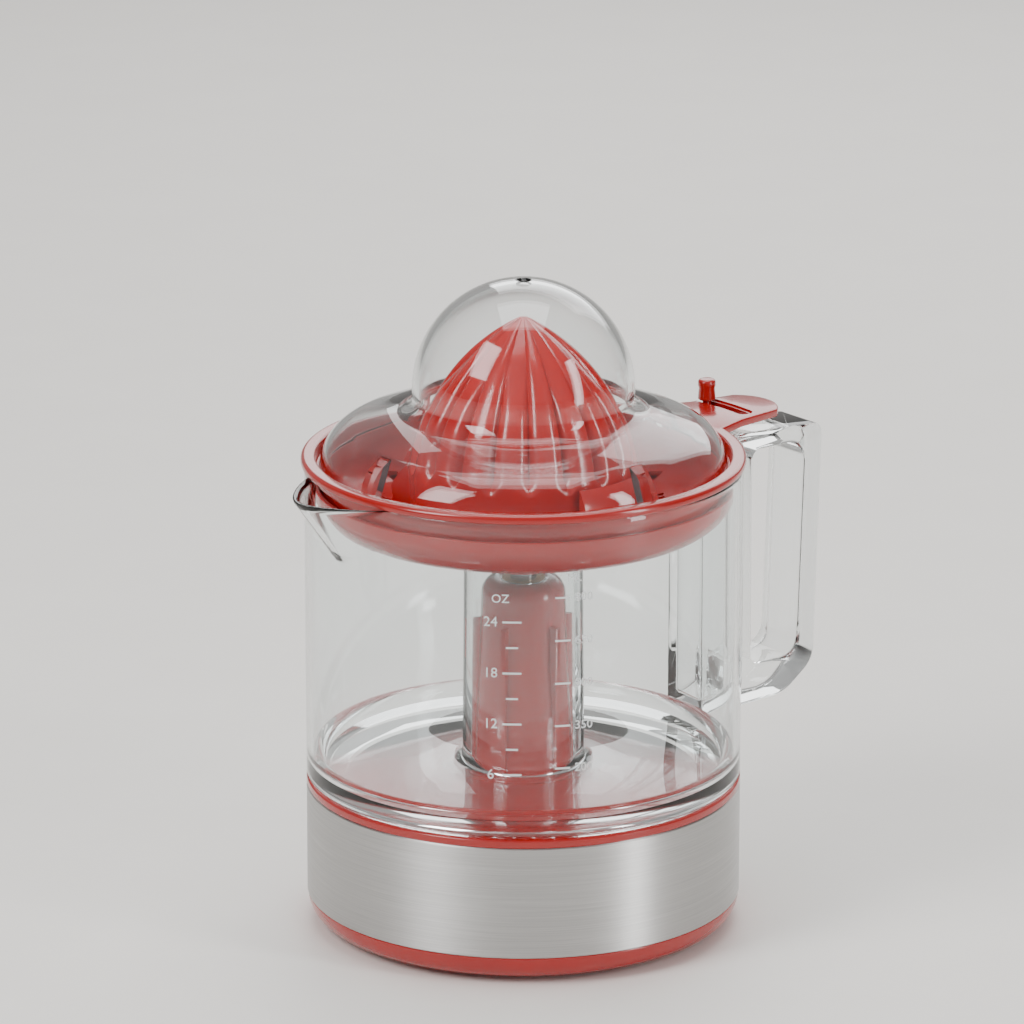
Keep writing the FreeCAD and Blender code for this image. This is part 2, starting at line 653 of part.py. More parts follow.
def make_strainer():
    body = lathe("strainer_bowl", [
        ("hub_bore", "selector_under"),
        ("hub_radius", "selector_under"),
        ("hub_radius", "bowl_under"),
        ("bowl_floor_radius", "bowl_under"),
        ("side_radius - 10", "bowl_under + 2.2"),
        ("side_radius", "rim - bowl_side_drop", "bowl_curve"),
        ("side_radius", "ledge_under"),
        ("bowl_radius", "ledge_under"),
        ("bowl_radius", "rim"),
        ("lip_radius", "rim"),
        ("lip_radius", "lip_top"),
        ("lip_bore", "lip_top"),
        ("lip_bore", "ledge_top"),
        ("ledge_bore", "ledge_top"),
        ("ledge_bore", "rim - bowl_side_drop"),
        ("ledge_bore - 9.4", "bowl_floor + 2.2", "bowl_wall - bowl_curve"),
        ("bowl_floor_radius", "bowl_floor"),
        ("hub_radius", "bowl_floor"),
        ("hub_radius", "bowl_floor + hub_rise"),
        ("hub_bore", "bowl_floor + hub_rise"),
    ])
    tab = draw(new_sketch(body, "tab_outline", "XY_Plane", "rim"), [
        ("lip_bore + 1", "0 - tab_root"),
        ("lip_radius - 2", "0 - tab_root"),
        ("lip_radius + 8", "0 - tab_half_width - 2"),
        ("tab_reach", "0 - tab_half_width"),
        ("tab_reach", "tab_half_width", "tab_tip_radius"),
        ("lip_radius + 8", "tab_half_width + 2"),
        ("lip_radius - 2", "tab_root"),
        ("lip_bore + 1", "tab_root"),
    ])
    extrude(body, "tab", tab, "lip_thickness")
    track = new_sketch(body, "track_outline", "XY_Plane", "rim")
    inner, outer = "track_radius - track_width / 2", "track_radius + track_width / 2"
    draw(track, [
        (*polar(inner, "track_start"), f"0 - ({inner})"),
        (*polar(outer, "track_start"), "track_width * 0.52"),
        (*polar(outer, "track_end"), outer),
        (*polar(inner, "track_end"), "track_width * 0.52"),
    ])
    extrude(body, "track", track, "lip_thickness + 1", cut=True)
    lever_gap = draw(new_sketch(body, "lever_gap_outline", "XY_Plane", "ledge_under - 0.1"),
                     box_outline("side_radius - 1", "lip_radius", "notch_half_width"))
    keep = "ledge_drop + ledge_thickness + 0.1"
    extrude(body, "lever_gap", lever_gap, keep, cut=True)
    slot = draw(new_sketch(body, "slot_outline", "XY_Plane", "bowl_under - 1"),
                box_outline("slot_start_radius", "slot_end_radius", "slot_width / 2"))
    slots = extrude(body, "slot", slot, "bowl_wall + 8", cut=True)
    ring_copies(body, [slots], "slot_count", "slots")
    near, far = "window_ring - window_size / 2", "window_ring + window_size / 2"
    half = "window_size / 2"
    window = draw(new_sketch(body, "window_outline", "XY_Plane", "bowl_under - 1"), [
        turned(near, f"0 - {half}", "window_turn"), turned(far, f"0 - {half}", "window_turn"),
        turned(far, half, "window_turn"), turned(near, half, "window_turn")])
    windows = extrude(body, "window", window, "bowl_depth - ledge_drop - ledge_thickness - 1", cut=True)
    ring_copies(body, [windows], "window_count", "windows")


def make_selector():
    floor = "selector_under"
    body = lathe("pulp_selector", [
        ("hub_radius + running_gap", floor),
        ("collar_radius - 1.6", floor),
        ("collar_radius - 1.6", f"{floor} - collar_drop"),
        ("collar_radius", f"{floor} - collar_drop"),
        ("collar_radius", floor),
        ("selector_floor_radius", floor),
        ("selector_radius - 10", f"{floor} + 2.4"),
        ("selector_radius", "selector_rim - selector_side", "selector_curve"),
        ("selector_radius", "selector_rim"),
        ("selector_radius - selector_wall", "selector_rim"),
        ("selector_radius - selector_wall", "selector_rim - selector_side"),
        ("selector_radius - selector_wall - 9.4", f"{floor} + selector_wall + 2.4",
         "selector_wall - selector_curve"),
        ("selector_floor_radius", f"{floor} + selector_wall"),
        ("hub_radius + running_gap", f"{floor} + selector_wall"),
    ])
    slot = draw(new_sketch(body, "slot_outline", "XY_Plane", f"{floor} - 1"),
                box_outline("slot_start_radius", "slot_end_radius", "slot_width / 2 + 0.5"))
    slots = extrude(body, "slot", slot, "selector_wall + 8", cut=True)
    ring_copies(body, [slots], "slot_count", "slots")
    lever_top = "rim - lever_drop"
    half = "lever_width / 2"
    root = "selector_radius - selector_wall + 0.15"
    for label, near, far, under in (
            ("riser", root, "selector_radius - 0.3", "selector_rim - 1"),
            ("arm", root, "lever_reach", f"{lever_top} - lever_thickness")):
        plan = draw(new_sketch(body, label + "_outline", "XY_Plane", under), [
            turned(near, f"0 - {half}", "lever_turn"), turned(far, f"0 - {half}", "lever_turn"),
            turned(far, half, "lever_turn"), turned(near, half, "lever_turn")])
        extrude(body, label, plan, f"{lever_top} - ({under})")


def make_peg():
    lever_top = "rim - lever_drop"
    body = lathe("selector_peg", [
        ("0", lever_top),
        ("peg_neck_radius", lever_top),
        ("peg_neck_radius", "lip_top + 0.3"),
        ("peg_radius", "lip_top + 0.3"),
        ("peg_radius", "lip_top + peg_rise - 1"),
        ("peg_radius - 1", "lip_top + peg_rise", "1"),
        ("0", "lip_top + peg_rise"),
    ])
    place(body, "track_radius", "lever_turn")


# ---------------------------------------------------------------- cone and wiper

def make_cone():
    bore = "cone_radius - cone_wall"
    body = lathe("cone", [
        ("socket_radius", "tube_under"),
        ("tube_radius", "tube_under"),
        ("tube_radius", "cone_top - 16"),
        (bore + " - 3", "skirt_top - 2", "2 - cone_curve"),
        (bore, "skirt_top - 2"),
        (bore, "skirt_under"),
        ("cone_radius", "skirt_under"),
        ("cone_radius", "skirt_top + 2"),
        ("cone_tip_radius", "cone_top - 0.8", "cone_curve"),
        ("0", "cone_top"),
        ("0", "spindle_top + 2"),
        ("socket_radius", "spindle_top + 2"),
    ])
    groove = draw(new_sketch(body, "groove_outline", "XZ_Plane"), [
        ("cone_radius - groove_depth", "skirt_top", "groove_depth - cone_curve"),
        ("cone_radius + 2", "skirt_top"),
        ("cone_radius + 2", "cone_top + 1"),
        ("cone_tip_radius + 3", "cone_top + 1"),
        ("cone_tip_radius + 3", "cone_top - 7"),
    ])
    grooves = extrude(body, "groove", groove, "groove_width", cut=True, both=True)
    ring_copies(body, [grooves], "rib_count", "grooves", "V_Axis")
    keyway = draw(new_sketch(body, "keyway_outline", "XZ_Plane"), [
        (bore + " - 1", "skirt_under - 1"), ("cone_radius + 1", "skirt_under - 1"),
        ("cone_radius + 1", "skirt_under + lug_rise + press_travel + fit_gap"),
        (bore + " - 1", "skirt_under + lug_rise + press_travel + fit_gap")])
    keyways = extrude(body, "keyway", keyway, "lug_width + 0.6", cut=True, both=True)
    ring_copies(body, [keyways], "2", "keyways", "V_Axis")
    spin(body, "ramp_turn")


def make_cone_socket():
    """A metal insert with a hexagon that rides on the spindle."""
    body = lathe("cone_socket", [
        ("0", "tube_under"),
        ("socket_radius", "tube_under"),
        ("socket_radius", "spindle_top + 2"),
        ("0", "spindle_top + 2"),
    ])
    hexagon = draw(new_sketch(body, "hexagon", "XY_Plane", "tube_under"), hexagon_outline("hex_gap"))
    extrude(body, "hexagon_hole", hexagon, "spindle_top - tube_under", cut=True)


def hexagon_outline(gap):
    radius = f"(spindle_radius + ({gap}) * 1.1547)"
    return [polar(radius, str(60 * corner)) for corner in range(6)]


def make_wiper():
    """A ring that the cone carries round, with two ramps that sweep the pulp."""
    under = "bowl_floor + fit_gap"
    outer = "wiper_bore + ramp_reach"
    body = lathe("pulp_wiper", [
        ("wiper_bore", under),
        ("wiper_bore + wiper_width", under),
        ("wiper_bore + wiper_width", f"{under} + wiper_thickness"),
        ("wiper_bore", f"{under} + wiper_thickness"),
    ])
    ramp = turn_profile(body, "ramp", [
        ("wiper_bore", under),
        (outer, under),
        (outer, "bowl_floor + ramp_edge"),
        ("wiper_bore", "bowl_floor + ramp_height"),
    ], angle="ramp_angle")
    doc.recompute()
    ring_copies(body, [ramp], "2", "ramps", "V_Axis")
    lug = draw(new_sketch(body, "lug_outline", "XY_Plane", under),
               box_outline("cone_radius - cone_wall", "wiper_bore + 1", "lug_width / 2"))
    lugs = extrude(body, "lug", lug, f"skirt_under + lug_rise - ({under})")
    ring_copies(body, [lugs], "2", "lugs")
    spin(body, "ramp_turn")


# ---------------------------------------------------------------- lid

def make_lid():
    inner_dome = "dome_radius - lid_wall"
    foot = "ledge_top + dome_centre_rise - dome_foot_drop"
    outer_foot = "sqrt(dome_radius ^ 2 - dome_foot_drop ^ 2)"
    inner_foot = f"sqrt(({inner_dome}) ^ 2 - dome_foot_drop ^ 2)"
    body = lathe("lid", [
        ("lid_radius - lid_wall", "ledge_top"),
        ("lid_radius", "ledge_top"),
        ("lid_radius - 0.8", "ledge_top + lid_edge_rise"),
        ("lid_shoulder_radius", "ledge_top + lid_shoulder_rise", "lid_shoulder_curve"),
        ("lid_brim_radius", "ledge_top + lid_brim_rise"),
        (outer_foot, foot, "0 - lid_fillet - 1"),
        ("0", "ledge_top + dome_centre_rise + dome_radius", "dome_radius"),
        ("0", f"ledge_top + dome_centre_rise + {inner_dome}"),
        (inner_foot, foot, f"0 - ({inner_dome})"),
        ("lid_brim_radius - 0.6", "ledge_top + lid_brim_rise - lid_wall", "lid_fillet + lid_wall + 1"),
        ("lid_shoulder_radius - 0.8", "ledge_top + lid_shoulder_rise - lid_wall"),
        ("lid_radius - lid_wall - 0.8", "ledge_top + lid_edge_rise",
         "0 - lid_shoulder_curve + lid_wall"),
    ])
    gusset = draw(new_sketch(body, "gusset_outline", "XZ_Plane"), [
        ("lid_radius - 6", "ledge_top + 1"),
        ("lid_radius - 1", "ledge_top + 1"),
        ("lid_radius - 1.6", "ledge_top + lid_edge_rise"),
        ("lid_shoulder_radius + 5", "ledge_top + lid_shoulder_rise * 0.7"),
        ("lid_shoulder_radius - 0.5", "ledge_top + lid_shoulder_rise - 1"),
        ("lid_shoulder_radius - 0.5", "ledge_top + lid_shoulder_rise - 2.5"),
    ])
    gussets = extrude(body, "gusset", gusset, "gusset_width", both=True)
    ring_copies(body, [gussets], "gusset_count", "gussets", "V_Axis")
    spin(body, "gusset_turn")


# ---------------------------------------------------------------- drive

def make_gear_plate():
    body = lathe("gear_plate", [
        ("spindle_foot_radius + running_gap", "plate_height"),
        ("plate_radius", "plate_height"),
        ("plate_radius", "plate_top"),
        ("spindle_foot_radius + running_gap", "plate_top"),
    ])
    drill(body, "pin_hole", [(*polar("idler_ring", "idler_turn"), "idler_pin_radius")],
          "plate_height", "plate_thickness")
    drill(body, "shaft_hole", [(*polar("motor_ring", "motor_turn"), "motor_shaft_radius + 1")],
          "plate_height", "plate_thickness")
    screw = drill(body, "screw_hole",
                  [(*polar("plate_post_ring", "plate_post_turn"), "screw_radius + 0.2")],
                  "plate_height", "plate_thickness")
    ring_copies(body, [screw], "3", "screw_holes")


def make_motor():
    """A synchronous motor: can, cap, coil, and a magnet rotor with its shaft."""
    bore = "motor_shaft_radius + running_gap"
    can = lathe("motor_can", [
        (bore, "motor_foot"),
        ("motor_radius", "motor_foot"),
        ("motor_radius", "plate_height - 0.8"),
        ("motor_radius - motor_wall", "plate_height - 0.8"),
        ("motor_radius - motor_wall", "motor_foot + motor_wall"),
        (bore, "motor_foot + motor_wall"),
    ])
    cap = lathe("motor_cap", [
        (bore, "plate_height - 0.8"),
        ("motor_radius", "plate_height - 0.8"),
        ("motor_radius", "plate_height"),
        (bore, "plate_height"),
    ])
    coil = lathe("motor_coil", [
        ("coil_radius", "motor_foot + 3"),
        ("motor_radius - motor_wall - 0.5", "motor_foot + 3"),
        ("motor_radius - motor_wall - 0.5", "plate_height - 3"),
        ("coil_radius", "plate_height - 3"),
    ])
    magnet = lathe("rotor_magnet", [
        ("motor_shaft_radius", "motor_foot + 3"),
        ("magnet_radius", "motor_foot + 3"),
        ("magnet_radius", "plate_height - 3"),
        ("motor_shaft_radius", "plate_height - 3"),
    ])
    shaft = lathe("motor_shaft", [
        ("0", "motor_foot + 0.3"),
        ("motor_shaft_radius", "motor_foot + 0.3"),
        ("motor_shaft_radius", "plate_top + idler_wheel_rise + wheel_thickness"),
        ("0", "plate_top + idler_wheel_rise + wheel_thickness"),
    ])
    for piece in (can, cap, coil, magnet, shaft):
        place(piece, "motor_ring", "motor_turn")


ADDENDUM = 0.85
DEDENDUM = 1.2
BACKLASH = 0.22
PRESSURE = math.radians(20)


def gear_wheel(teeth, start, length, bore, turn):
    """A spur wheel with straight-sided teeth, one of them centred on the direction turn."""
    module = size("gear_module")
    pitch = module * teeth / 2
    half = math.pi * module / 4 - BACKLASH / 2
    points = []
    for tooth in range(teeth):
        middle = math.radians(turn) + tooth * 2 * math.pi / teeth
        for side, radius in ((-1, pitch - DEDENDUM * module), (-1, pitch + ADDENDUM * module),
                             (1, pitch + ADDENDUM * module), (1, pitch - DEDENDUM * module)):
            width = half - (radius - pitch) * math.tan(PRESSURE)
            angle = middle + side * min(width / radius, 0.98 * math.pi / teeth)
            points.append(FreeCAD.Vector(radius * math.cos(angle), radius * math.sin(angle), start))
    wheel = Part.Face(Part.makePolygon(points + points[:1])).extrude(FreeCAD.Vector(0, 0, length))
    return wheel.cut(Part.makeCylinder(bore, length, FreeCAD.Vector(0, 0, start)))


def feature(node, shape, ring="0", turn="0"):
    """A sub-part whose shape is made with Part's own functions, then put in its place."""
    piece = doc.addObject("Part::Feature", node)
    piece.Label = node
    piece.Shape = shape
    place(piece, ring, turn)


def make_gears():
    plate_top = size("plate_top")
    wheel_start = plate_top + size("idler_wheel_rise")
    drive_start = plate_top + size("drive_gear_rise")
    to_idler = size("idler_turn")
    half_pinion = 180 / size("pinion_teeth")
    across = size("motor_ring * cos(motor_turn) - idler_ring * cos(idler_turn)")
    along = size("motor_ring * sin(motor_turn) - idler_ring * sin(idler_turn)")
    to_motor = math.degrees(math.atan2(along, across))

    pinion = gear_wheel(int(size("pinion_teeth")), wheel_start, size("wheel_thickness"),
                        size("motor_shaft_radius"), to_motor + 180 + half_pinion)
    feature("motor_pinion", pinion, "motor_ring", "motor_turn")

    bore = size("idler_pin_radius + running_gap")
    wheel = gear_wheel(int(size("idler_teeth")), wheel_start, size("wheel_thickness"), bore, to_motor)
    upper_start = wheel_start + size("wheel_thickness")
    upper_length = drive_start + size("drive_gear_thickness") - upper_start
    upper = gear_wheel(int(size("pinion_teeth")), upper_start, upper_length, bore,
                       to_idler + 180 + half_pinion)
    feature("idler_gear", wheel.fuse(upper), "idler_ring", "idler_turn")

    hub_radius = size("drive_hub_radius")
    rim = gear_wheel(int(size("drive_teeth")), drive_start, size("drive_gear_thickness"),
                     hub_radius - 1, to_idler)
    hub = Part.makeCylinder(hub_radius, size("drive_hub_height"), FreeCAD.Vector(0, 0, plate_top))
    corners = [FreeCAD.Vector(size(across), size(along), plate_top)
               for across, along in hexagon_outline("hex_gap")]
    hexagon = Part.Face(Part.makePolygon(corners + corners[:1]))
    bore_tool = hexagon.extrude(FreeCAD.Vector(0, 0, size("drive_hub_height")))
    feature("drive_gear", hub.fuse(rim).cut(bore_tool))


def make_idler_pin():
    body = lathe("idler_pin", [
        ("0", "plate_height"),
        ("idler_pin_radius", "plate_height"),
        ("idler_pin_radius", "plate_top + drive_gear_rise + drive_gear_thickness + 1"),
        ("0", "plate_top + drive_gear_rise + drive_gear_thickness + 1"),
    ])
    place(body, "idler_ring", "idler_turn")


def make_spindle():
    low_hex = "plate_top + press_travel + 1"
    body = lathe("spindle", [
        ("0", "spindle_foot"),
        ("spindle_foot_radius", "spindle_foot"),
        ("spindle_foot_radius", low_hex),
        ("spindle_radius", low_hex),
        ("spindle_radius", "spring_top"),
        ("flange_radius", "spring_top"),
        ("flange_radius", "spring_top + 1.6"),
        ("spindle_radius", "spring_top + 1.6"),
        ("spindle_radius", "spindle_top"),
        ("0", "spindle_top"),
    ])
    for label, start, length in (
            ("low_hexagon", low_hex, f"hub_top + press_travel + 2 - ({low_hex})"),
            ("top_hexagon", "tube_under - 0.4", "spindle_top - tube_under + 0.4")):
        sketch = new_sketch(body, label + "_outline", "XY_Plane", start)
        draw(sketch, hexagon_outline("0 - 0.02"))
        draw_circles(sketch, [("0", "0", "spindle_radius + 1")])
        extrude(body, label, sketch, length, cut=True)


def make_spindle_clip():
    lathe("spindle_clip", [
        ("spindle_foot_radius", "plate_height - 0.8"),
        ("spindle_foot_radius + 1.8", "plate_height - 0.8"),
        ("spindle_foot_radius + 1.8", "plate_height"),
        ("spindle_foot_radius", "plate_height"),
    ])


SPRING_STEPS = 32                     # points along one turn of the spring; short arcs join them


def make_return_spring():
    """A round wire wound between the drive gear's hub and the spindle's flange."""
    wire, radius, turns = size("spring_wire / 2"), size("spring_radius"), size("spring_turns")
    height = size("spring_height") - 2 * wire
    steps = int(SPRING_STEPS * turns)
    places = [FreeCAD.Vector(radius * math.cos(2 * math.pi * turns * step / steps),
                             radius * math.sin(2 * math.pi * turns * step / steps),
                             height * step / steps) for step in range(steps + 1)]
    path = Part.Wire([Part.Arc(*places[step:step + 3]).toShape() for step in range(0, steps, 2)])
    start = FreeCAD.Vector(0, 2 * math.pi * radius, height / turns)
    section = Part.Wire(Part.makeCircle(wire, places[0], start))
    coil = path.makePipeShell([section], True, True)
    coil.translate(FreeCAD.Vector(0, 0, size("hub_top") + wire))
    feature("return_spring", coil)


def make_switch():
    body = new_body("micro_switch")
    half, side = "switch_width / 2", "switch_length / 2"
    plan = draw(new_sketch(body, "outline", "XY_Plane", "pan_floor"), [
        turned(f"0 - {half}", f"0 - {side}", "motor_turn"), turned(half, f"0 - {side}", "motor_turn"),
        turned(half, side, "motor_turn"), turned(f"0 - {half}", side, "motor_turn")])
    extrude(body, "case", plan, "switch_top - pan_floor")
    drill(body, "button_bore", [("0", "0", "button_radius + 0.05")], "switch_top - 7", "7")
    lathe("switch_button", [
        ("0", "switch_top - 4"),
        ("button_radius", "switch_top - 4"),
        ("button_radius", "button_top"),
        ("0", "button_top"),
    ])


def make_terminal_block():
    body = new_body("terminal_block")
    plan = draw(new_sketch(body, "outline", "XY_Plane", "pan_floor"),
                [("block_across", "block_along"), ("block_across + block_length", "block_along"),
                 ("block_across + block_length", "block_along + block_width"),
                 ("block_across", "block_along + block_width")])
    extrude(body, "case", plan, "block_height")
    middle = "block_along + block_width / 2"
    drill(body, "wells", [(f"block_across + block_length * {share}", middle, "well_radius")
                          for share in ("0.25", "0.75")], "pan_floor + block_height / 2", "block_height")


# ---------------------------------------------------------------- build

make_base_pan()
make_screws("pan_screws", "4", "pan_post_ring", "0", "foot_height + 0.2")
make_feet()
make_steel_band()
make_motor_housing()
make_bush()
make_cord_gland()
make_jug()
make_handle()
make_strainer()
make_selector()
make_peg()
make_cone()
make_cone_socket()
make_wiper()
make_lid()
make_gear_plate()
make_screws("plate_screws", "3", "plate_post_ring", "plate_post_turn",
            "plate_height - screw_head_height")
make_motor()
make_gears()
make_idler_pin()
make_spindle()
make_spindle_clip()
make_return_spring()
make_switch()
make_terminal_block()
doc.recompute()

sub_parts = [item for item in doc.Objects
             if item.TypeId in ("PartDesign::Body", "Part::Feature") and item.Label == item.Name]
for item in doc.Objects:
    if "Invalid" in item.State or "Error" in item.State:
        raise RuntimeError(f"{item.Name} did not recompute: {item.State}")
os.makedirs("parts", exist_ok=True)
for item in sub_parts:
    if item.Shape.isNull() or not item.Shape.isValid() or not item.Shape.Solids:
        raise RuntimeError(f"{item.Label} has no valid solid")
    item.Shape.exportStep(f"parts/{item.Label}.step")
print(len(sub_parts), "sub-parts written")
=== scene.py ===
import math

import bpy
from mathutils import Matrix, Vector


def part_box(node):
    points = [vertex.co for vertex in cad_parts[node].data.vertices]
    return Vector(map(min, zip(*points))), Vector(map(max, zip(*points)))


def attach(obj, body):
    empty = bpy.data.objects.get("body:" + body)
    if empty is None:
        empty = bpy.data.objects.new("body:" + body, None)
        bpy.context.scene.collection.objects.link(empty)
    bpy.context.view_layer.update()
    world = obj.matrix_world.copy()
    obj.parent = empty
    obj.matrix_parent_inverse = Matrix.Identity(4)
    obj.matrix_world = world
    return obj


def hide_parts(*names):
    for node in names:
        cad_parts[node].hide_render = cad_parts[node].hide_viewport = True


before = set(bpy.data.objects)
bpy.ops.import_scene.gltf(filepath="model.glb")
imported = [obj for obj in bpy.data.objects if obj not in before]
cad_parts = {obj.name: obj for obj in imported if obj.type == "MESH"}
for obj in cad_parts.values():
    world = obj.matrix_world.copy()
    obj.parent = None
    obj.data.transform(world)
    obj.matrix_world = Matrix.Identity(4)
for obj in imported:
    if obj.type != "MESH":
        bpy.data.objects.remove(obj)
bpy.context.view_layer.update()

MM = 0.001

# ------------------------------------------------------------------ sizes, millimetres

JUG_LOW, JUG_HIGH = (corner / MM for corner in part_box("jug"))
BAND_LOW, BAND_HIGH = (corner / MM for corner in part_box("steel_band"))
PAN_LOW, PAN_HIGH = (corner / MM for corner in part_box("base_pan"))
HOUSING_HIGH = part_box("motor_housing")[1] / MM
STRAINER_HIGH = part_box("strainer_bowl")[1] / MM
SELECTOR_LOW, SELECTOR_HIGH = (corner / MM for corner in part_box("pulp_selector"))
PEG_LOW, PEG_HIGH = (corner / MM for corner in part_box("selector_peg"))
CONE_LOW, CONE_HIGH = (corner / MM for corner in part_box("cone"))
LID_LOW, LID_HIGH = (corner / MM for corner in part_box("lid"))
WIPER_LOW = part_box("pulp_wiper")[0] / MM
HANDLE_LOW, HANDLE_HIGH = (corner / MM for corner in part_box("jug_handle"))

DECK = JUG_LOW.z                      # the jug stands here
RIM = JUG_HIGH.z                      # the strainer's lip rests here
JUG_RADIUS = JUG_HIGH.y
JUG_WALL = 2.0
JUG_BORE = JUG_RADIUS - JUG_WALL
JUG_FLOOR = DECK + 4.7
COLUMN_RADIUS = 18.2
COLUMN_TOP = RIM - 23.5
SPOUT_REACH = 14.6
SPOUT_DROP = 20.0
SPOUT_HALF_ANGLE = 20.0
SPOUT_TURN = 176.0
SPOUT_BLUNT = 0.16                    # rounds the tip of the spout
BAND_TOP = BAND_HIGH.z
PAN_TOP = BAND_LOW.z
LIP_RADIUS = STRAINER_HIGH.y
LIP_TOP = STRAINER_HIGH.z
BOWL_RADIUS = JUG_BORE - 0.3
LIP_BORE = BOWL_RADIUS - 1.1
LEDGE_BORE = LIP_BORE - 2.8
LEDGE_TOP = RIM - 1.6
BOWL_UNDER = RIM - 18.7
BOWL_WALL = 1.4
BOWL_FLOOR = BOWL_UNDER + BOWL_WALL
SELECTOR_UNDER = BOWL_UNDER - 2.3
SELECTOR_RADIUS = BOWL_RADIUS - 0.5
SELECTOR_TOP = RIM - 6.4
CONE_RADIUS = CONE_HIGH.y
CONE_FOOT = BOWL_FLOOR + 2.4
CONE_SKIRT = 14.0
CONE_TOP = CONE_HIGH.z
LID_RADIUS = LID_HIGH.y
LID_SEAT = LID_LOW.z
WIPER_TURN = -75.0
LEVER_TURN = 7.5
ROUND = 144                           # steps in a full turn of a moulded piece
EDGE = 0.35                           # broken edge of a moulding
SEAT_GAP = 0.2                        # the pan's wall stands back by this
POST_RING = 50.5                      # the pan's screws
GLAND_HOLE = 4.5                      # radius of the cord's hole in the band
GLAND_HEIGHT = 20.0
BAND_SHEET = 0.6                      # thickness of the steel sheet
NOTCH_HALF = 15.0                     # half width of the gap for the selector's lever
HUB_RADIUS = 10.6                     # strainer's hub round the cone's tube
HUB_BORE = 9.0
FLAT_RADIUS = 42.0                    # flat part of the strainer's floor
SLOT_START, SLOT_END, SLOT_COUNT = 37.0, 46.0, 24
WINDOW_RING, WINDOW_HALF, WINDOW_COUNT, WINDOW_TURN = 53.0, 3.0, 8, 7.0
TRACK_RADIUS = 79.5                   # arc slot in the tab, and the peg in it
TRACK_ENDS = (-5.0, 8.3)
LEVER_HALF, LEVER_REACH = 3.5, 82.5
LEVER_TOP = RIM - 0.4
TUBE_RADIUS, SOCKET_RADIUS = 7.75, 5.6
RIB_COUNT = 18
RAMP_ARC = 50.0                       # arc of each of the wiper's ramps


# ------------------------------------------------------------------ modelling by hand

def deselect():
    if bpy.context.object and bpy.context.object.mode != "OBJECT":
        bpy.ops.object.mode_set(mode="OBJECT")
    bpy.ops.object.select_all(action="DESELECT")


def pick(thing):
    deselect()
    thing.select_set(True)
    bpy.context.view_layer.objects.active = thing
    return thing


def settle(thing):
    """Put the place of a piece in its mesh."""
    pick(thing)
    bpy.ops.object.transform_apply(location=True, rotation=True, scale=True)
    return thing


def arc(first, last, radius, steps=8):
    """Points from first to last on an arc; a positive radius bulges to the right of the way."""
    start, stop = Vector(first), Vector(last)
    chord = stop - start
    side = Vector((-chord.y, chord.x)).normalized() * math.copysign(1, radius)
    centre = (start + stop) / 2 + side * math.sqrt(max(radius ** 2 - chord.length ** 2 / 4, 0))
    spoke = start - centre
    sweep = spoke.angle_signed(stop - centre)
    points = []
    for step in range(steps + 1):
        turn = -sweep * step / steps
        points.append(centre + Matrix.Rotation(turn, 2) @ spoke)
    return [tuple(point) for point in points]


def turned(name, outline, steps=ROUND):
    """Turn a closed (radius, height) outline round the Z axis; it may touch the axis."""
    deselect()
    bpy.ops.mesh.primitive_circle_add(vertices=len(outline), radius=1)
    piece = bpy.context.object
    piece.name = name
    for vertex, (radius, height) in zip(piece.data.vertices, outline):
        vertex.co = (radius * MM, 0, height * MM)
    bpy.ops.object.mode_set(mode="EDIT")
    bpy.ops.mesh.select_all(action="SELECT")
    bpy.ops.mesh.spin(steps=steps, angle=2 * math.pi, center=(0, 0, 0), axis=(0, 0, 1))
    bpy.ops.mesh.select_all(action="SELECT")
    bpy.ops.mesh.remove_doubles(threshold=2e-6)
    bpy.ops.mesh.delete_loose()
    bpy.ops.mesh.select_all(action="SELECT")
    bpy.ops.mesh.normals_make_consistent(inside=False)
    bpy.ops.object.mode_set(mode="OBJECT")
    return piece


def finish_modifier(piece, kind, **settings):
    pick(piece)
    modifier = piece.modifiers.new(kind.title(), kind)
    for key, value in settings.items():
        setattr(modifier, key, value)
    bpy.ops.object.modifier_apply(modifier=modifier.name)
    return piece


def soften(piece, width=EDGE, segments=2, angle=30):
    """Break the sharp edges and smooth what is round."""
    finish_modifier(piece, "BEVEL", width=width * MM, segments=segments, limit_method="ANGLE",
                    angle_limit=math.radians(angle), harden_normals=False,
                    miter_outer="MITER_ARC", use_clamp_overlap=True)
    bpy.ops.object.shade_smooth_by_angle(angle=math.radians(40))
    return piece


def combine(piece, tool, operation):
    finish_modifier(piece, "BOOLEAN", object=tool, operation=operation, solver="EXACT")
    bpy.data.objects.remove(tool)
    return piece


def join(name, pieces):
    deselect()
    for piece in pieces:
        piece.select_set(True)
    bpy.context.view_layer.objects.active = pieces[0]
    bpy.ops.object.join()
    pieces[0].name = name
    return pieces[0]


def box(name, low, high, turn=0.0):
    """A block between two corners in millimetres, turned about the Z axis in degrees."""
    deselect()
    middle = (Vector(low) + Vector(high)) / 2 * MM
    bpy.ops.mesh.primitive_cube_add(size=1, location=middle)
    piece = bpy.context.object
    piece.name = name
    piece.scale = (Vector(high) - Vector(low)) * MM
    settle(piece)
    piece.rotation_euler.z = math.radians(turn)
    return settle(piece)


def ring_of(maker, count, first=0.0):
    return [maker(first + 360 * number / count) for number in range(count)]


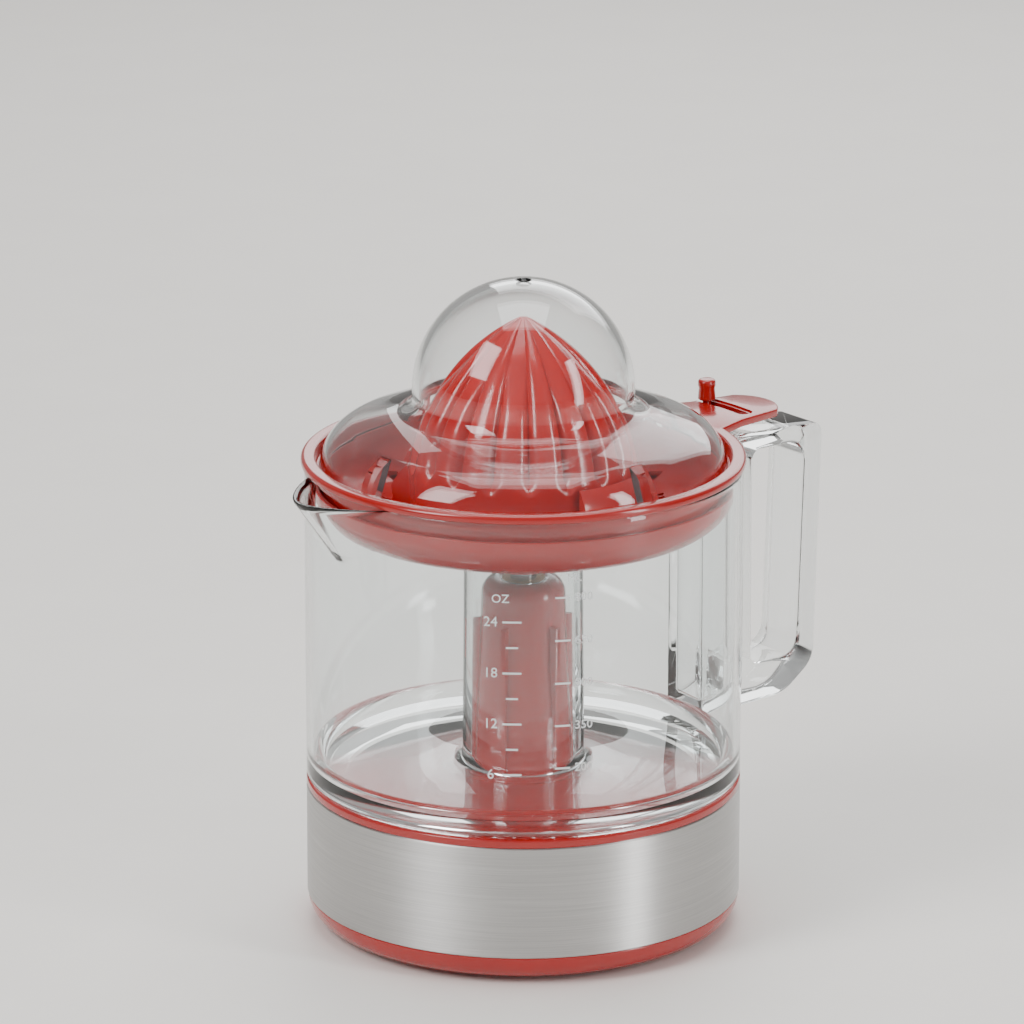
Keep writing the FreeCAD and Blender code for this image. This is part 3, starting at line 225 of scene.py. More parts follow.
def flat_piece(name, loops, thickness, rounding=0.0, steps=3):
    """A plate cut to its outline and holes, with rounded edges, lying in the XY plane."""
    curve = bpy.data.curves.new(name, "CURVE")
    curve.dimensions = "2D"
    curve.fill_mode = "BOTH"
    curve.extrude = (thickness / 2 - rounding) * MM
    curve.bevel_depth = rounding * MM
    curve.bevel_resolution = steps
    curve.offset = -rounding * MM
    for loop in loops:
        spline = curve.splines.new("POLY")
        spline.points.add(len(loop) - 1)
        for point, (across, along) in zip(spline.points, loop):
            point.co = (across * MM, along * MM, 0, 1)
        spline.use_cyclic_u = True
    piece = bpy.data.objects.new(name, curve)
    bpy.context.collection.objects.link(piece)
    pick(piece)
    bpy.ops.object.convert(target="MESH")
    piece = bpy.context.object
    bpy.ops.object.mode_set(mode="EDIT")
    bpy.ops.mesh.select_all(action="SELECT")
    bpy.ops.mesh.remove_doubles(threshold=2e-6)
    bpy.ops.mesh.normals_make_consistent(inside=False)
    bpy.ops.object.mode_set(mode="OBJECT")
    return piece


def rounded(corners):
    """An outline whose corners (x, y, radius) are rounded, in order round the piece."""
    points = []
    for index, (x, y, radius) in enumerate(corners):
        here = Vector((x, y))
        before = Vector(corners[index - 1][:2]) - here
        after = Vector(corners[(index + 1) % len(corners)][:2]) - here
        if radius <= 0:
            points.append((x, y))
            continue
        half = before.angle(after) / 2
        back = radius / math.tan(half)
        start, stop = here + before.normalized() * back, here + after.normalized() * back
        centre = here + (before.normalized() + after.normalized()).normalized() * radius / math.sin(half)
        sweep = (start - centre).angle_signed(stop - centre)
        for step in range(9):
            points.append(tuple(centre + Matrix.Rotation(-sweep * step / 8, 2) @ (start - centre)))
    return points


# ------------------------------------------------------------------ materials

def colour(code):
    """An sRGB hex colour as the linear one that shaders use."""
    channels = [int(code[index:index + 2], 16) / 255 for index in (1, 3, 5)]
    linear = [c / 12.92 if c <= 0.04045 else ((c + 0.055) / 1.055) ** 2.4 for c in channels]
    return (*linear, 1.0)


def add_node(tree, kind, settings=None, links=None):
    """Add a node, set its inputs or properties by name, and feed its inputs from other sockets."""
    node = tree.nodes.new("ShaderNode" + kind)
    for key, value in (settings or {}).items():
        if isinstance(key, int) or key in node.inputs:
            node.inputs[key].default_value = value
        else:
            setattr(node, key, value)
    for key, socket in (links or {}).items():
        tree.links.new(socket, node.inputs[key])
    return node


def new_material(name, **settings):
    """A material with one Principled shader, and its shader and tree."""
    material = bpy.data.materials.new(name)
    material.use_nodes = True
    tree = material.node_tree
    shader = next(node for node in tree.nodes if node.type == "BSDF_PRINCIPLED")
    for key, value in settings.items():
        shader.inputs[key.replace("_", " ")].default_value = value
    return material, tree, shader


def grain(tree, size_mm, stretch=(1, 1, 1), detail=3.0):
    """Noise on object coordinates whose blotches are size_mm across, stretched along the axes."""
    place = add_node(tree, "TexCoord")
    scale = tuple(1 / (size_mm * MM * way) for way in stretch)
    mapping = add_node(tree, "Mapping", {"Scale": scale}, {"Vector": place.outputs["Object"]})
    return add_node(tree, "TexNoise", {"Scale": 1.0, "Detail": detail}, {"Vector": mapping.outputs[0]})


def vary(tree, shader, socket, factor, low, high):
    spread = add_node(tree, "MapRange", {"To Min": low, "To Max": high}, {"Value": factor})
    tree.links.new(spread.outputs[0], shader.inputs[socket])


def blend_colours(tree, shader, factor, first, second):
    mix = add_node(tree, "Mix", {"data_type": "RGBA"}, {0: factor})
    mix.inputs[6].default_value = colour(first)
    mix.inputs[7].default_value = colour(second)
    tree.links.new(mix.outputs[2], shader.inputs["Base Color"])


def relief(tree, shader, height, depth_mm, strength=1.0):
    bump = add_node(tree, "Bump", {"Distance": depth_mm * MM, "Strength": strength}, {"Height": height})
    tree.links.new(bump.outputs[0], shader.inputs["Normal"])


def red_abs():
    """Injection-moulded ABS from a polished tool: a deep glossy red with a very slight ripple."""
    material, tree, shader = new_material("red_gloss_abs", IOR=1.53, Coat_Weight=0.35, Coat_Roughness=0.06)
    blotch = grain(tree, 14)
    blend_colours(tree, shader, blotch.outputs[0], "#960D08", "#A8140E")
    vary(tree, shader, "Roughness", grain(tree, 0.6).outputs[0], 0.17, 0.27)
    relief(tree, shader, grain(tree, 5, detail=1.0).outputs[0], 0.03, 0.4)
    return material


def clear_san():
    """Moulded styrene acrylonitrile: water clear, glass gloss, faint flow ripples in the wall.
    Its real index is 1.57; at 1.43 reflections hide less of the tower behind the wall."""
    material, tree, shader = new_material("clear_san", IOR=1.43, Transmission_Weight=1.0)
    shader.inputs["Base Color"].default_value = colour("#F8FBFB")
    vary(tree, shader, "Roughness", grain(tree, 30).outputs[0], 0.0, 0.015)
    relief(tree, shader, grain(tree, 18, (1, 1, 3), 1.0).outputs[0], 0.05, 0.25)
    output = next(node for node in tree.nodes if node.type == "OUTPUT_MATERIAL")
    ray = add_node(tree, "LightPath")
    through = add_node(tree, "BsdfTransparent", {"Color": colour("#EEF2F2")})
    mix = add_node(tree, "MixShader", {}, {0: ray.outputs["Is Shadow Ray"], 1: shader.outputs[0],
                                           2: through.outputs[0]})
    tree.links.new(mix.outputs[0], output.inputs["Surface"])
    return material


def moulded_marks():
    """Raised marks with a spark-eroded surface: the same clear plastic, frosted nearly white."""
    material, tree, shader = new_material("frosted_marks", IOR=1.57, Transmission_Weight=0.25)
    blend_colours(tree, shader, grain(tree, 0.3).outputs[0], "#E9EDEE", "#FFFFFF")
    vary(tree, shader, "Roughness", grain(tree, 0.2).outputs[0], 0.45, 0.65)
    return material


def brushed_stainless():
    """Stainless sheet brushed along the band: fine lines run round it and smear highlights upright."""
    material, tree, shader = new_material("brushed_stainless_sheet", Metallic=1.0, Anisotropic=0.88,
                                          Anisotropic_Rotation=0.25)
    place = add_node(tree, "TexCoord")
    # real brush lines are about 0.1 mm apart; these are 0.35 mm apart so that they show, and 36 mm long
    lines = add_node(tree, "TexNoise", {"Scale": 1.0, "Detail": 6.0, "Roughness": 0.65},
                     {"Vector": add_node(tree, "Mapping", {"Scale": (28, 28, 1 / (0.35 * MM))},
                                         {"Vector": place.outputs["Object"]}).outputs[0]})
    blend_colours(tree, shader, lines.outputs[0], "#A9A8A7", "#E2E1DF")
    vary(tree, shader, "Roughness", lines.outputs[0], 0.36, 0.52)
    relief(tree, shader, lines.outputs[0], 0.02, 0.35)
    tangent = add_node(tree, "Tangent", {"direction_type": "RADIAL", "axis": "Z"})
    tree.links.new(tangent.outputs[0], shader.inputs["Tangent"])
    return material


def steel(name, dark, light, rough, size_mm=0.4, stretch=(1, 1, 1)):
    """Machined or plated steel: bright, with tool marks of one size."""
    material, tree, shader = new_material(name, Metallic=1.0)
    marks = grain(tree, size_mm, stretch)
    blend_colours(tree, shader, marks.outputs[0], dark, light)
    vary(tree, shader, "Roughness", marks.outputs[0], rough, rough + 0.14)
    relief(tree, shader, marks.outputs[0], 0.01, 0.4)
    return material


def plastic(name, dark, light, rough, size_mm=0.8, depth_mm=0.02):
    """A moulded plastic or rubber with a fine erosion texture."""
    material, tree, shader = new_material(name, IOR=1.49)
    marks = grain(tree, size_mm)
    blend_colours(tree, shader, marks.outputs[0], dark, light)
    vary(tree, shader, "Roughness", marks.outputs[0], rough, rough + 0.12)
    relief(tree, shader, marks.outputs[0], depth_mm, 0.5)
    return material


def enamelled_wire():
    """A wound coil: rows of varnished copper wire, drawn as ridges 1 mm apart along Z, with painted shade
    that darkens the grooves between the rows.
    """
    material, tree, shader = new_material("enamelled_copper_wire", Metallic=0.9)
    place = add_node(tree, "TexCoord")
    ridges_and_groove_shade = add_node(tree, "TexWave", {"wave_type": "BANDS", "bands_direction": "Z",
                                      "Scale": 314.0, "Distortion": 0.4},   # about one band a millimetre
                    {"Vector": place.outputs["Object"]})
    # painted shade: the colour goes dark brown in the grooves between the wire rows and stays copper on their
    # crests
    blend_colours(tree, shader, ridges_and_groove_shade.outputs[0], "#5A2410", "#C9703C")
    vary(tree, shader, "Roughness", ridges_and_groove_shade.outputs[0], 0.28, 0.4)
    relief(tree, shader, ridges_and_groove_shade.outputs[0], 0.15, 0.8)
    return material


RED = red_abs()
CLEAR = clear_san()
FROSTED = moulded_marks()
BRUSHED = brushed_stainless()
GROUND = steel("ground_steel", "#9C9EA2", "#D6D8DA", 0.16, 0.3, (1, 1, 6))
ZINC = steel("zinc_plated_steel", "#8E949C", "#C4C9CE", 0.3, 1.2)
SPRING = steel("drawn_spring_wire", "#6E7074", "#A4A6AA", 0.25, 0.3)
BRONZE = steel("sintered_bronze", "#7A4F22", "#B88746", 0.42, 0.25)
FERRITE = plastic("sintered_ferrite", "#1C1C1F", "#34343A", 0.55, 0.5)
ACETAL = plastic("acetal_gears", "#DEDBCE", "#F3F1E8", 0.34, 1.5)
BLACK = plastic("black_phenolic", "#101011", "#1E1E20", 0.4)
RUBBER = plastic("grey_rubber", "#18181A", "#2A2A2C", 0.7, 0.5, 0.05)
COPPER = enamelled_wire()

CAD_FINISH = {
    "pan_screws": ZINC, "plate_screws": ZINC, "gear_plate": ZINC, "motor_can": ZINC, "motor_cap": ZINC,
    "rubber_feet": RUBBER, "cord_gland": RUBBER, "upper_bush": BRONZE, "motor_coil": COPPER,
    "idler_pin": GROUND, "motor_shaft": GROUND, "spindle": GROUND, "cone_socket": GROUND,
    "micro_switch": BLACK, "terminal_block": BLACK, "switch_button": RED, "rotor_magnet": FERRITE,
    "motor_pinion": ACETAL, "idler_gear": ACETAL, "drive_gear": ACETAL,
    "return_spring": SPRING, "spindle_clip": SPRING,
}


def paint(piece, material):
    piece.data.materials.clear()
    piece.data.materials.append(material)
    return piece


for node, material in CAD_FINISH.items():
    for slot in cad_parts[node].material_slots:
        slot.material = material


def deliver(piece, material, body, slot, *nodes):
    """Give a finished piece its material and its place in the frame."""
    paint(piece, material)
    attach(piece, body)
    if nodes:
        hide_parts(*nodes)


# ------------------------------------------------------------------ base

def base_pan():
    side = arc((PAN_HIGH.x - 5.6, PAN_LOW.z), (JUG_RADIUS - SEAT_GAP, PAN_TOP - 0.5), 7.4)
    outline = [(0, PAN_LOW.z), (40, PAN_LOW.z)] + side + [
        (JUG_RADIUS - SEAT_GAP, PAN_TOP), (JUG_RADIUS - 3.4, PAN_TOP), (JUG_RADIUS - 3.4, PAN_HIGH.z),
        (JUG_RADIUS - 5.7, PAN_HIGH.z), (JUG_RADIUS - 5.7, PAN_TOP), (JUG_RADIUS - 9.6, PAN_LOW.z + 2.5),
        (0, PAN_LOW.z + 2.5)]
    piece = turned("pan_moulding", outline)
    for turn in range(0, 360, 90):
        for radius, depth in ((1.7, 4.0), (3.4, 1.2)):      # screw hole, and the recess for its head
            across, along = math.cos(math.radians(turn)), math.sin(math.radians(turn))
            middle = Vector((POST_RING * across, POST_RING * along, PAN_LOW.z - 1 + (depth + 1) / 2)) * MM
            deselect()
            bpy.ops.mesh.primitive_cylinder_add(vertices=32, radius=radius * MM, depth=(depth + 1) * MM,
                                                location=middle)
            combine(piece, settle(bpy.context.object), "DIFFERENCE")
    deliver(soften(piece), RED, "base", "red_abs", "base_pan")


def steel_band():
    lip, ridges_and_groove_shade = 0.35, 12
    outline = [(JUG_RADIUS - BAND_SHEET, PAN_TOP), (JUG_RADIUS - lip, PAN_TOP), (JUG_RADIUS, PAN_TOP + lip)]
    outline += [(JUG_RADIUS, PAN_TOP + lip + (BAND_TOP - PAN_TOP - 2 * lip) * step / ridges_and_groove_shade)
                for step in range(1, ridges_and_groove_shade + 1)]
    outline += [(JUG_RADIUS - lip, BAND_TOP), (JUG_RADIUS - BAND_SHEET, BAND_TOP)]
    piece = turned("brushed_band", outline, steps=256)
    deselect()
    bpy.ops.mesh.primitive_cylinder_add(vertices=48, radius=GLAND_HOLE * MM, depth=20 * MM,
                                        location=(0, JUG_RADIUS * MM, GLAND_HEIGHT * MM),
                                        rotation=(math.pi / 2, 0, 0))
    combine(piece, settle(bpy.context.object), "DIFFERENCE")
    pick(piece)
    bpy.ops.object.shade_smooth_by_angle(angle=math.radians(40))
    deliver(piece, BRUSHED, "base", "brushed_band", "steel_band")


def motor_housing():
    top = HOUSING_HIGH.z
    outline = [(62, PAN_TOP), (64, PAN_TOP), (64, BAND_TOP), (JUG_RADIUS - 0.4, BAND_TOP),
               (JUG_RADIUS, BAND_TOP + 0.4), (JUG_RADIUS, DECK - 0.5), (JUG_RADIUS - 0.4, DECK - 0.1),
               (JUG_RADIUS - 2.2, DECK), (JUG_RADIUS - 2.6, DECK), (19, DECK), (18.4, DECK)]
    outline += arc((17.2, DECK), (15, DECK + 2), -2.0, 5)
    outline += [(13.9, DECK + 27.3), (12.7, top - 4.8)] + arc((12.7, top - 4.5), (9.6, top), 4.4, 6)
    outline += [(6.5, top), (6.5, top - 8), (10.7, top - 8), (13, DECK - 2.5), (62, DECK - 2.5)]
    piece = turned("deck_and_tower", outline)

    def rib(turn):
        return box("rib", (12.2, -0.7, DECK + 0.2), (15.6, 0.7, top - 12), turn)
    ribs = join("tower_ribs", ring_of(rib, 6, 30))
    combine(piece, ribs, "UNION")
    deliver(soften(piece), RED, "base", "red_abs", "motor_housing")


# ------------------------------------------------------------------ jug

def swell(piece):
    """Push the wall near the rim out into a V-shaped spout, both faces alike."""
    for vertex in piece.data.vertices:
        x, y, z = vertex.co / MM
        radius = math.hypot(x, y)
        if radius < JUG_BORE - 0.5 or z < RIM - SPOUT_DROP:
            continue
        away = (math.degrees(math.atan2(y, x)) - SPOUT_TURN + 180) % 360 - 180
        share = math.hypot(away / SPOUT_HALF_ANGLE, SPOUT_BLUNT) - SPOUT_BLUNT
        side = max(0.0, 1 - share / (math.hypot(1, SPOUT_BLUNT) - SPOUT_BLUNT))
        rise = (z - RIM + SPOUT_DROP) / SPOUT_DROP
        reach = SPOUT_REACH * side * max(0.0, rise - (1 - rise) * (1 - side) * 0.6)
        vertex.co.x += reach * x / radius * MM
        vertex.co.y += reach * y / radius * MM


def jug_handle():
    """The handle's outline in the XZ plane, rounded all along its edges."""
    wall, top = JUG_RADIUS - 1.0, HANDLE_HIGH.z
    foot, reach = HANDLE_LOW.z, HANDLE_HIGH.x
    width, leg_wall, leg_end = 18, 2.4, 81.5
    outside = rounded([(wall, foot, 0), (reach - 14, foot + 1.4, 14), (reach - 2.5, foot + 10, 9),
                       (reach, top - 2.6, 3.4), (wall, top, 0)])
    hole = rounded([(leg_end, foot + 13.3, 3), (reach - 9.5, foot + 13.3, 6.5),
                    (reach - 7, top - 7, 6.5), (leg_end, top - 7, 3)])
    piece = flat_piece("handle_plate", [outside, hole], width, 1.3, 4)
    piece.rotation_euler.x = math.pi / 2
    settle(piece)
    # the closed leg beside the jug wall is a hollow moulding
    near, far = JUG_RADIUS + 1.2, leg_end - leg_wall + 0.1
    leg = rounded([(near, foot + 4, 1.5), (far, foot + 5, 2.5), (far, top - 3.2, 2.5),
                   (near, top - 3.2, 1.5)])
    cavity = flat_piece("leg_cavity", [leg], width - 2 * leg_wall, 1.5, 3)
    cavity.rotation_euler.x = math.pi / 2
    combine(piece, settle(cavity), "DIFFERENCE")
    return piece


def jug():
    ridges_and_groove_shade = 14
    wall = [(JUG_RADIUS, DECK + 1.2)] + [
        (JUG_RADIUS, RIM - SPOUT_DROP - 2 + (SPOUT_DROP + 1.4) * step / ridges_and_groove_shade) for step in range(ridges_and_groove_shade + 1)]
    inner = [(JUG_BORE, height) for _, height in reversed(wall[1:])]
    lip = [(JUG_RADIUS - 0.25, RIM - 0.15), (JUG_RADIUS - 0.8, RIM), (JUG_BORE + 0.8, RIM),
           (JUG_BORE + 0.25, RIM - 0.15)]
    floor = arc((JUG_BORE, JUG_FLOOR + 4), (JUG_BORE - 4, JUG_FLOOR), 4.0, 6)
    foot = arc((COLUMN_RADIUS + 3, JUG_FLOOR), (COLUMN_RADIUS, JUG_FLOOR + 3), -3.0, 5)
    column = arc((COLUMN_RADIUS - 0.5, COLUMN_TOP - 2), (COLUMN_RADIUS - 2.5, COLUMN_TOP), 2.0, 5)
    outline = [(JUG_BORE, DECK), (JUG_RADIUS - 1.2, DECK)] + wall + lip + inner + floor + foot + column + [
        (9.2, COLUMN_TOP), (9.2, COLUMN_TOP - 2), (COLUMN_RADIUS - 3.2, COLUMN_TOP - 2),
        (COLUMN_RADIUS - 2, JUG_FLOOR - 2.8), (JUG_BORE - 2, JUG_FLOOR - 2.8), (JUG_BORE, JUG_FLOOR - 4)]
    piece = turned("jug_and_handle", outline, steps=180)
    swell(piece)
    combine(piece, jug_handle(), "UNION")
    notch = box("lever_notch", (JUG_BORE - 4, -NOTCH_HALF, RIM - 2.4), (JUG_RADIUS + 1, NOTCH_HALF, RIM + 1))
    combine(piece, notch, "DIFFERENCE")
    pick(piece)
    bpy.ops.object.shade_smooth_by_angle(angle=math.radians(32))
    deliver(piece, CLEAR, "jug", "clear_plastic", "jug", "jug_handle")


MARK_DEPTH = 0.25
OUNCE_PITCH = 15.5                   # height of six ounces in the jug
OUNCE_MARKS = (6, 12, 18, 24)
MILLILITRE_MARKS = {200: 17.3, 350: 30.3, 500: 43.2, 650: 56.2, 800: 69.2}     # above the jug's floor
FACING = -128.0                      # the marks face this way


def wrapped(piece, turn, height):
    """Wrap a flat mark round the jug wall, centred on a direction, and give it its depth."""
    for vertex in piece.data.vertices:
        angle = math.radians(turn) + vertex.co.x / (JUG_RADIUS * MM)
        radius = JUG_RADIUS * MM - 0.02 * MM + (MARK_DEPTH * MM if vertex.co.z > 1e-6 else 0)
        up = vertex.co.y + height * MM
        vertex.co = (radius * math.cos(angle), radius * math.sin(angle), up)
    return piece


def mark_line(width, turn, height):
    deselect()
    bpy.ops.mesh.primitive_cube_add(size=1)
    piece = bpy.context.object
    piece.scale = (width * MM, 0.5 * MM, 0.2 * MM)
    piece.location.z = 0.1 * MM
    settle(piece)
    bpy.ops.object.mode_set(mode="EDIT")
    bpy.ops.mesh.select_all(action="SELECT")
    bpy.ops.mesh.subdivide(number_cuts=5)
    bpy.ops.object.mode_set(mode="OBJECT")
    return wrapped(piece, turn, height)


def mark_text(words, size, turn, height):
    deselect()
    bpy.ops.object.text_add()
    piece = bpy.context.object
    piece.data.body = words
    piece.data.size = size * MM
    piece.data.extrude = 0.1 * MM
    piece.data.align_x = "CENTER"
    piece.data.align_y = "CENTER"
    piece.data.resolution_u = 3
    bpy.ops.object.convert(target="MESH")
    piece = bpy.context.object
    piece.location.z = 0.1 * MM
    settle(piece)
    return wrapped(piece, turn, height)


def jug_marks():
    """Two moulded scales of generic graduations."""
    marks = []
    for number, ounces in enumerate(OUNCE_MARKS, start=1):
        height = number * OUNCE_PITCH
        marks.append(mark_line(5.5, FACING - 3, JUG_FLOOR + height))
        marks.append(mark_text(str(ounces), 4.2, FACING - 8.5, JUG_FLOOR + height))
        if ounces != OUNCE_MARKS[-1]:
            marks.append(mark_line(3.5, FACING - 3, JUG_FLOOR + height + OUNCE_PITCH / 2))
    marks.append(mark_text("OZ", 3.6, FACING - 6, JUG_FLOOR + 69))
    for volume, height in MILLILITRE_MARKS.items():
        marks.append(mark_line(4.5, FACING + 10, JUG_FLOOR + height))
        marks.append(mark_text(str(volume), 3.6, FACING + 15.5, JUG_FLOOR + height))
    marks.append(mark_text("ML", 3.4, FACING + 13, JUG_FLOOR + 75))
    deliver(join("volume_marks", marks), FROSTED, "jug", "clear_plastic")


# ------------------------------------------------------------------ strainer and selector

def cutters(name, maker, count, first=0.0):
    return join(name, ring_of(maker, count, first))


def strainer():
    side = LEDGE_BORE + BOWL_WALL
    hub, hub_top = HUB_RADIUS, BOWL_FLOOR + 10
    outline = [(HUB_BORE, SELECTOR_UNDER), (hub, SELECTOR_UNDER), (hub, BOWL_UNDER),
               (FLAT_RADIUS, BOWL_UNDER)]
    outline += arc((side - 10, BOWL_UNDER + 2.2), (side, RIM - 5.7), 14.0, 9)
    outline += [(side, LEDGE_TOP - 1.4), (BOWL_RADIUS, LEDGE_TOP - 1.4), (BOWL_RADIUS, RIM)]
    outline += arc((LIP_RADIUS - 0.6, RIM), (LIP_RADIUS, RIM + 0.6), 0.6, 3)
    outline += arc((LIP_RADIUS, LIP_TOP - 1.2), (LIP_RADIUS - 1.2, LIP_TOP), 1.2, 5)
    outline += arc((LIP_BORE + 0.8, LIP_TOP), (LIP_BORE, LIP_TOP - 0.8), 0.8, 4)
    outline += arc((LIP_BORE, LEDGE_TOP + 0.5), (LIP_BORE - 0.5, LEDGE_TOP), -0.5, 3)
    outline += arc((LEDGE_BORE + 0.6, LEDGE_TOP), (LEDGE_BORE, LEDGE_TOP - 0.6), 0.6, 3)
    outline += arc((LEDGE_BORE, RIM - 5.7), (LEDGE_BORE - 9.4, BOWL_FLOOR + 2.2), -12.6, 9)
    outline += [(FLAT_RADIUS, BOWL_FLOOR), (hub + 1.2, BOWL_FLOOR), (hub, BOWL_FLOOR + 1.2),
                (hub, hub_top - 0.5), (hub - 0.5, hub_top), (HUB_BORE, hub_top)]
    piece = turned("strainer", outline, steps=180)

    tab_side = [(LIP_RADIUS - 4.5, 16), (LIP_RADIUS - 2, 16), (LIP_RADIUS + 8, 12.5), (89, 10.5)]
    tip = arc((89, -10.5), (89, 10.5), 12.8, 16)
    plan = [(x, -y) for x, y in tab_side[:-1]] + tip + list(reversed(tab_side[:-1]))
    tab = flat_piece("tab", [plan], LIP_TOP - RIM, 0.5, 2)
    tab.location.z = (RIM + LIP_TOP) / 2 * MM
    combine(piece, settle(tab), "UNION")

    def track(name, grow, low, high):
        """An arc slot in the tab, grown by a margin and cut between two heights."""
        radius, half = TRACK_RADIUS, 1.5 + grow
        first, last = (math.radians(end) for end in TRACK_ENDS)
        steps = [first + (last - first) * step / 10 for step in range(11)]
        outer = [((radius + half) * math.cos(a), (radius + half) * math.sin(a)) for a in steps]
        inner = [((radius - half) * math.cos(a), (radius - half) * math.sin(a)) for a in reversed(steps)]
        cap_last = arc(outer[-1], inner[0], half * 1.02, 8)[1:-1]
        cap_first = arc(inner[-1], outer[0], half * 1.02, 8)[1:-1]
        cutter = flat_piece(name, [outer + cap_last + inner + cap_first], high - low)
        cutter.location.z = (low + high) / 2 * MM
        return settle(cutter)
    combine(piece, track("track", 0.0, RIM - 0.5, LIP_TOP + 1), "DIFFERENCE")
    combine(piece, track("track_step", 1.3, LIP_TOP - 0.5, LIP_TOP + 1), "DIFFERENCE")
    gap = box("lever_gap", (side - 1, -NOTCH_HALF, LEDGE_TOP - 1.5), (LIP_RADIUS, NOTCH_HALF, RIM))
    combine(piece, gap, "DIFFERENCE")

    def slot(turn):
        return box("slot", (SLOT_START, -0.8, BOWL_UNDER - 1), (SLOT_END, 0.8, BOWL_UNDER + 9), turn)

    def window(turn):
        near, far = WINDOW_RING - WINDOW_HALF, WINDOW_RING + WINDOW_HALF
        return box("window", (near, -WINDOW_HALF, BOWL_UNDER - 1), (far, WINDOW_HALF, LEDGE_TOP - 2.5), turn)
    combine(piece, cutters("slots", slot, SLOT_COUNT), "DIFFERENCE")
    combine(piece, cutters("windows", window, WINDOW_COUNT, WINDOW_TURN), "DIFFERENCE")
    pick(piece)
    bpy.ops.object.shade_smooth_by_angle(angle=math.radians(32))
    deliver(piece, RED, "strainer", "red_abs", "strainer_bowl")


def selector():
    radius, wall, floor = SELECTOR_RADIUS, 1.2, SELECTOR_UNDER
    top = SELECTOR_TOP
    hub, collar, flat = HUB_RADIUS + 0.04, COLUMN_RADIUS + 2.1, FLAT_RADIUS - 1
    outline = [(hub, floor), (collar - 1.6, floor), (collar - 1.6, floor - 3), (collar, floor - 3),
               (collar, floor), (flat, floor)]
    outline += arc((radius - 10, floor + 2.4), (radius, top - 3), 14.0, 9)
    outline += [(radius, top - 0.3), (radius - 0.3, top), (radius - wall, top)]
    outline += arc((radius - wall, top - 3), (radius - wall - 9.4, floor + wall + 2.4), -12.8, 9)
    outline += [(flat, floor + wall), (hub, floor + wall)]
    piece = turned("selector_ring", outline)

    def slot(turn):
        return box("slot", (SLOT_START, -1.3, floor - 1), (SLOT_END, 1.3, floor + 9.2), turn)
    combine(piece, cutters("slots", slot, SLOT_COUNT), "DIFFERENCE")
    root = radius - wall + 0.15
    for name, under, reach in (("riser", top - 1, radius - 0.3), ("arm", LEVER_TOP - 1.8, LEVER_REACH)):
        lever = box(name, (root, -LEVER_HALF, under), (reach, LEVER_HALF, LEVER_TOP), LEVER_TURN)
        combine(piece, lever, "UNION")
    deliver(soften(piece, 0.2), RED, "selector", "red_abs", "pulp_selector")


def peg():
    radius, neck = 2.7, 1.3
    low, lip, top = PEG_LOW.z, LIP_TOP + 0.3, PEG_HIGH.z
    outline = [(neck, low), (neck, lip - 0.2), (neck + 0.2, lip), (radius - 0.3, lip), (radius, lip + 0.3)]
    outline += [(radius - 0.25, top - 2.6), (radius, top - 2.0)]
    outline += arc((radius, top - 1), (radius - 1, top), 1.0, 5)
    piece = turned("selector_knob", [(0, low)] + outline + [(0, top)], steps=48)
    turn = math.radians(LEVER_TURN)
    piece.location = (TRACK_RADIUS * math.cos(turn) * MM, TRACK_RADIUS * math.sin(turn) * MM, 0)
    settle(piece)
    bpy.ops.object.shade_smooth_by_angle(angle=math.radians(35))
    deliver(piece, RED, "selector", "red_abs", "selector_peg")


# ------------------------------------------------------------------ cone and wiper

def cone():
    """The reamer: 18 rounded ribs, every other one ending lower, over a plain skirt."""
    foot, skirt, top = CONE_FOOT, CONE_FOOT + CONE_SKIRT, CONE_TOP
    bore, tube, socket = CONE_RADIUS - 1.8, TUBE_RADIUS, SOCKET_RADIUS
    flank = arc((CONE_RADIUS, skirt + 2), (2.5, top - 0.8), 62.0, 44)
    inner = arc((tube, top - 16), (bore - 3, skirt - 2), -60.0, 14)
    outline = [(bore, foot), (CONE_RADIUS - 0.4, foot), (CONE_RADIUS, foot + 0.4), (CONE_RADIUS, skirt - 0.6),
               (CONE_RADIUS, skirt), (CONE_RADIUS, skirt + 1)] + flank + [
        (1.2, top - 0.15), (0, top)]
    under = [(socket, CONE_LOW.z), (tube, CONE_LOW.z)] + inner + [(bore, skirt - 2)]
    piece = turned("reamer", [(0, top - 12), (socket, top - 12)] + under + outline, steps=360)
    for vertex in piece.data.vertices:
        x, y, z = vertex.co / MM
        radius = math.hypot(x, y)
        if z < skirt - 0.3 or radius < 0.5:
            continue
        share = (z - skirt) / (top - skirt)
        shell = inner_radius_at(inner, z)
        if radius < shell + 0.6:
            continue
        turn = (math.degrees(math.atan2(y, x)) - WIPER_TURN) % 360
        phase = turn * RIB_COUNT / 360
        number, offset = int(phase + 0.5), abs((phase + 0.5) % 1 - 0.5) * 2
        depth = 3.4 * min(1, share * 9) * (1 - share) ** 0.45
        drop = depth * offset ** 3.2
        if number % 2:                       # a shorter rib sinks into the flank
            fade = max(0.0, min(1.0, (share - 0.45) / 0.3))
            drop = drop + (depth * 0.95 - drop) * fade * fade * (3 - 2 * fade)
        scale = (radius - drop) / radius
        vertex.co.x *= scale
        vertex.co.y *= scale

    def keyway(turn):
        return box("keyway", (bore - 1, -2.0, foot - 1), (CONE_RADIUS + 1, 2.0, foot + 6.3), turn)
    combine(piece, cutters("keyways", keyway, 2, WIPER_TURN), "DIFFERENCE")
    pick(piece)
    bpy.ops.object.shade_smooth_by_angle(angle=math.radians(38))
    deliver(piece, RED, "cone", "red_abs", "cone")


def inner_radius_at(inner, height):
    """Radius of the cone's inner face at a height."""
    reach = [radius for radius, up in inner if up >= height]
    return max(reach) if reach else 0.0


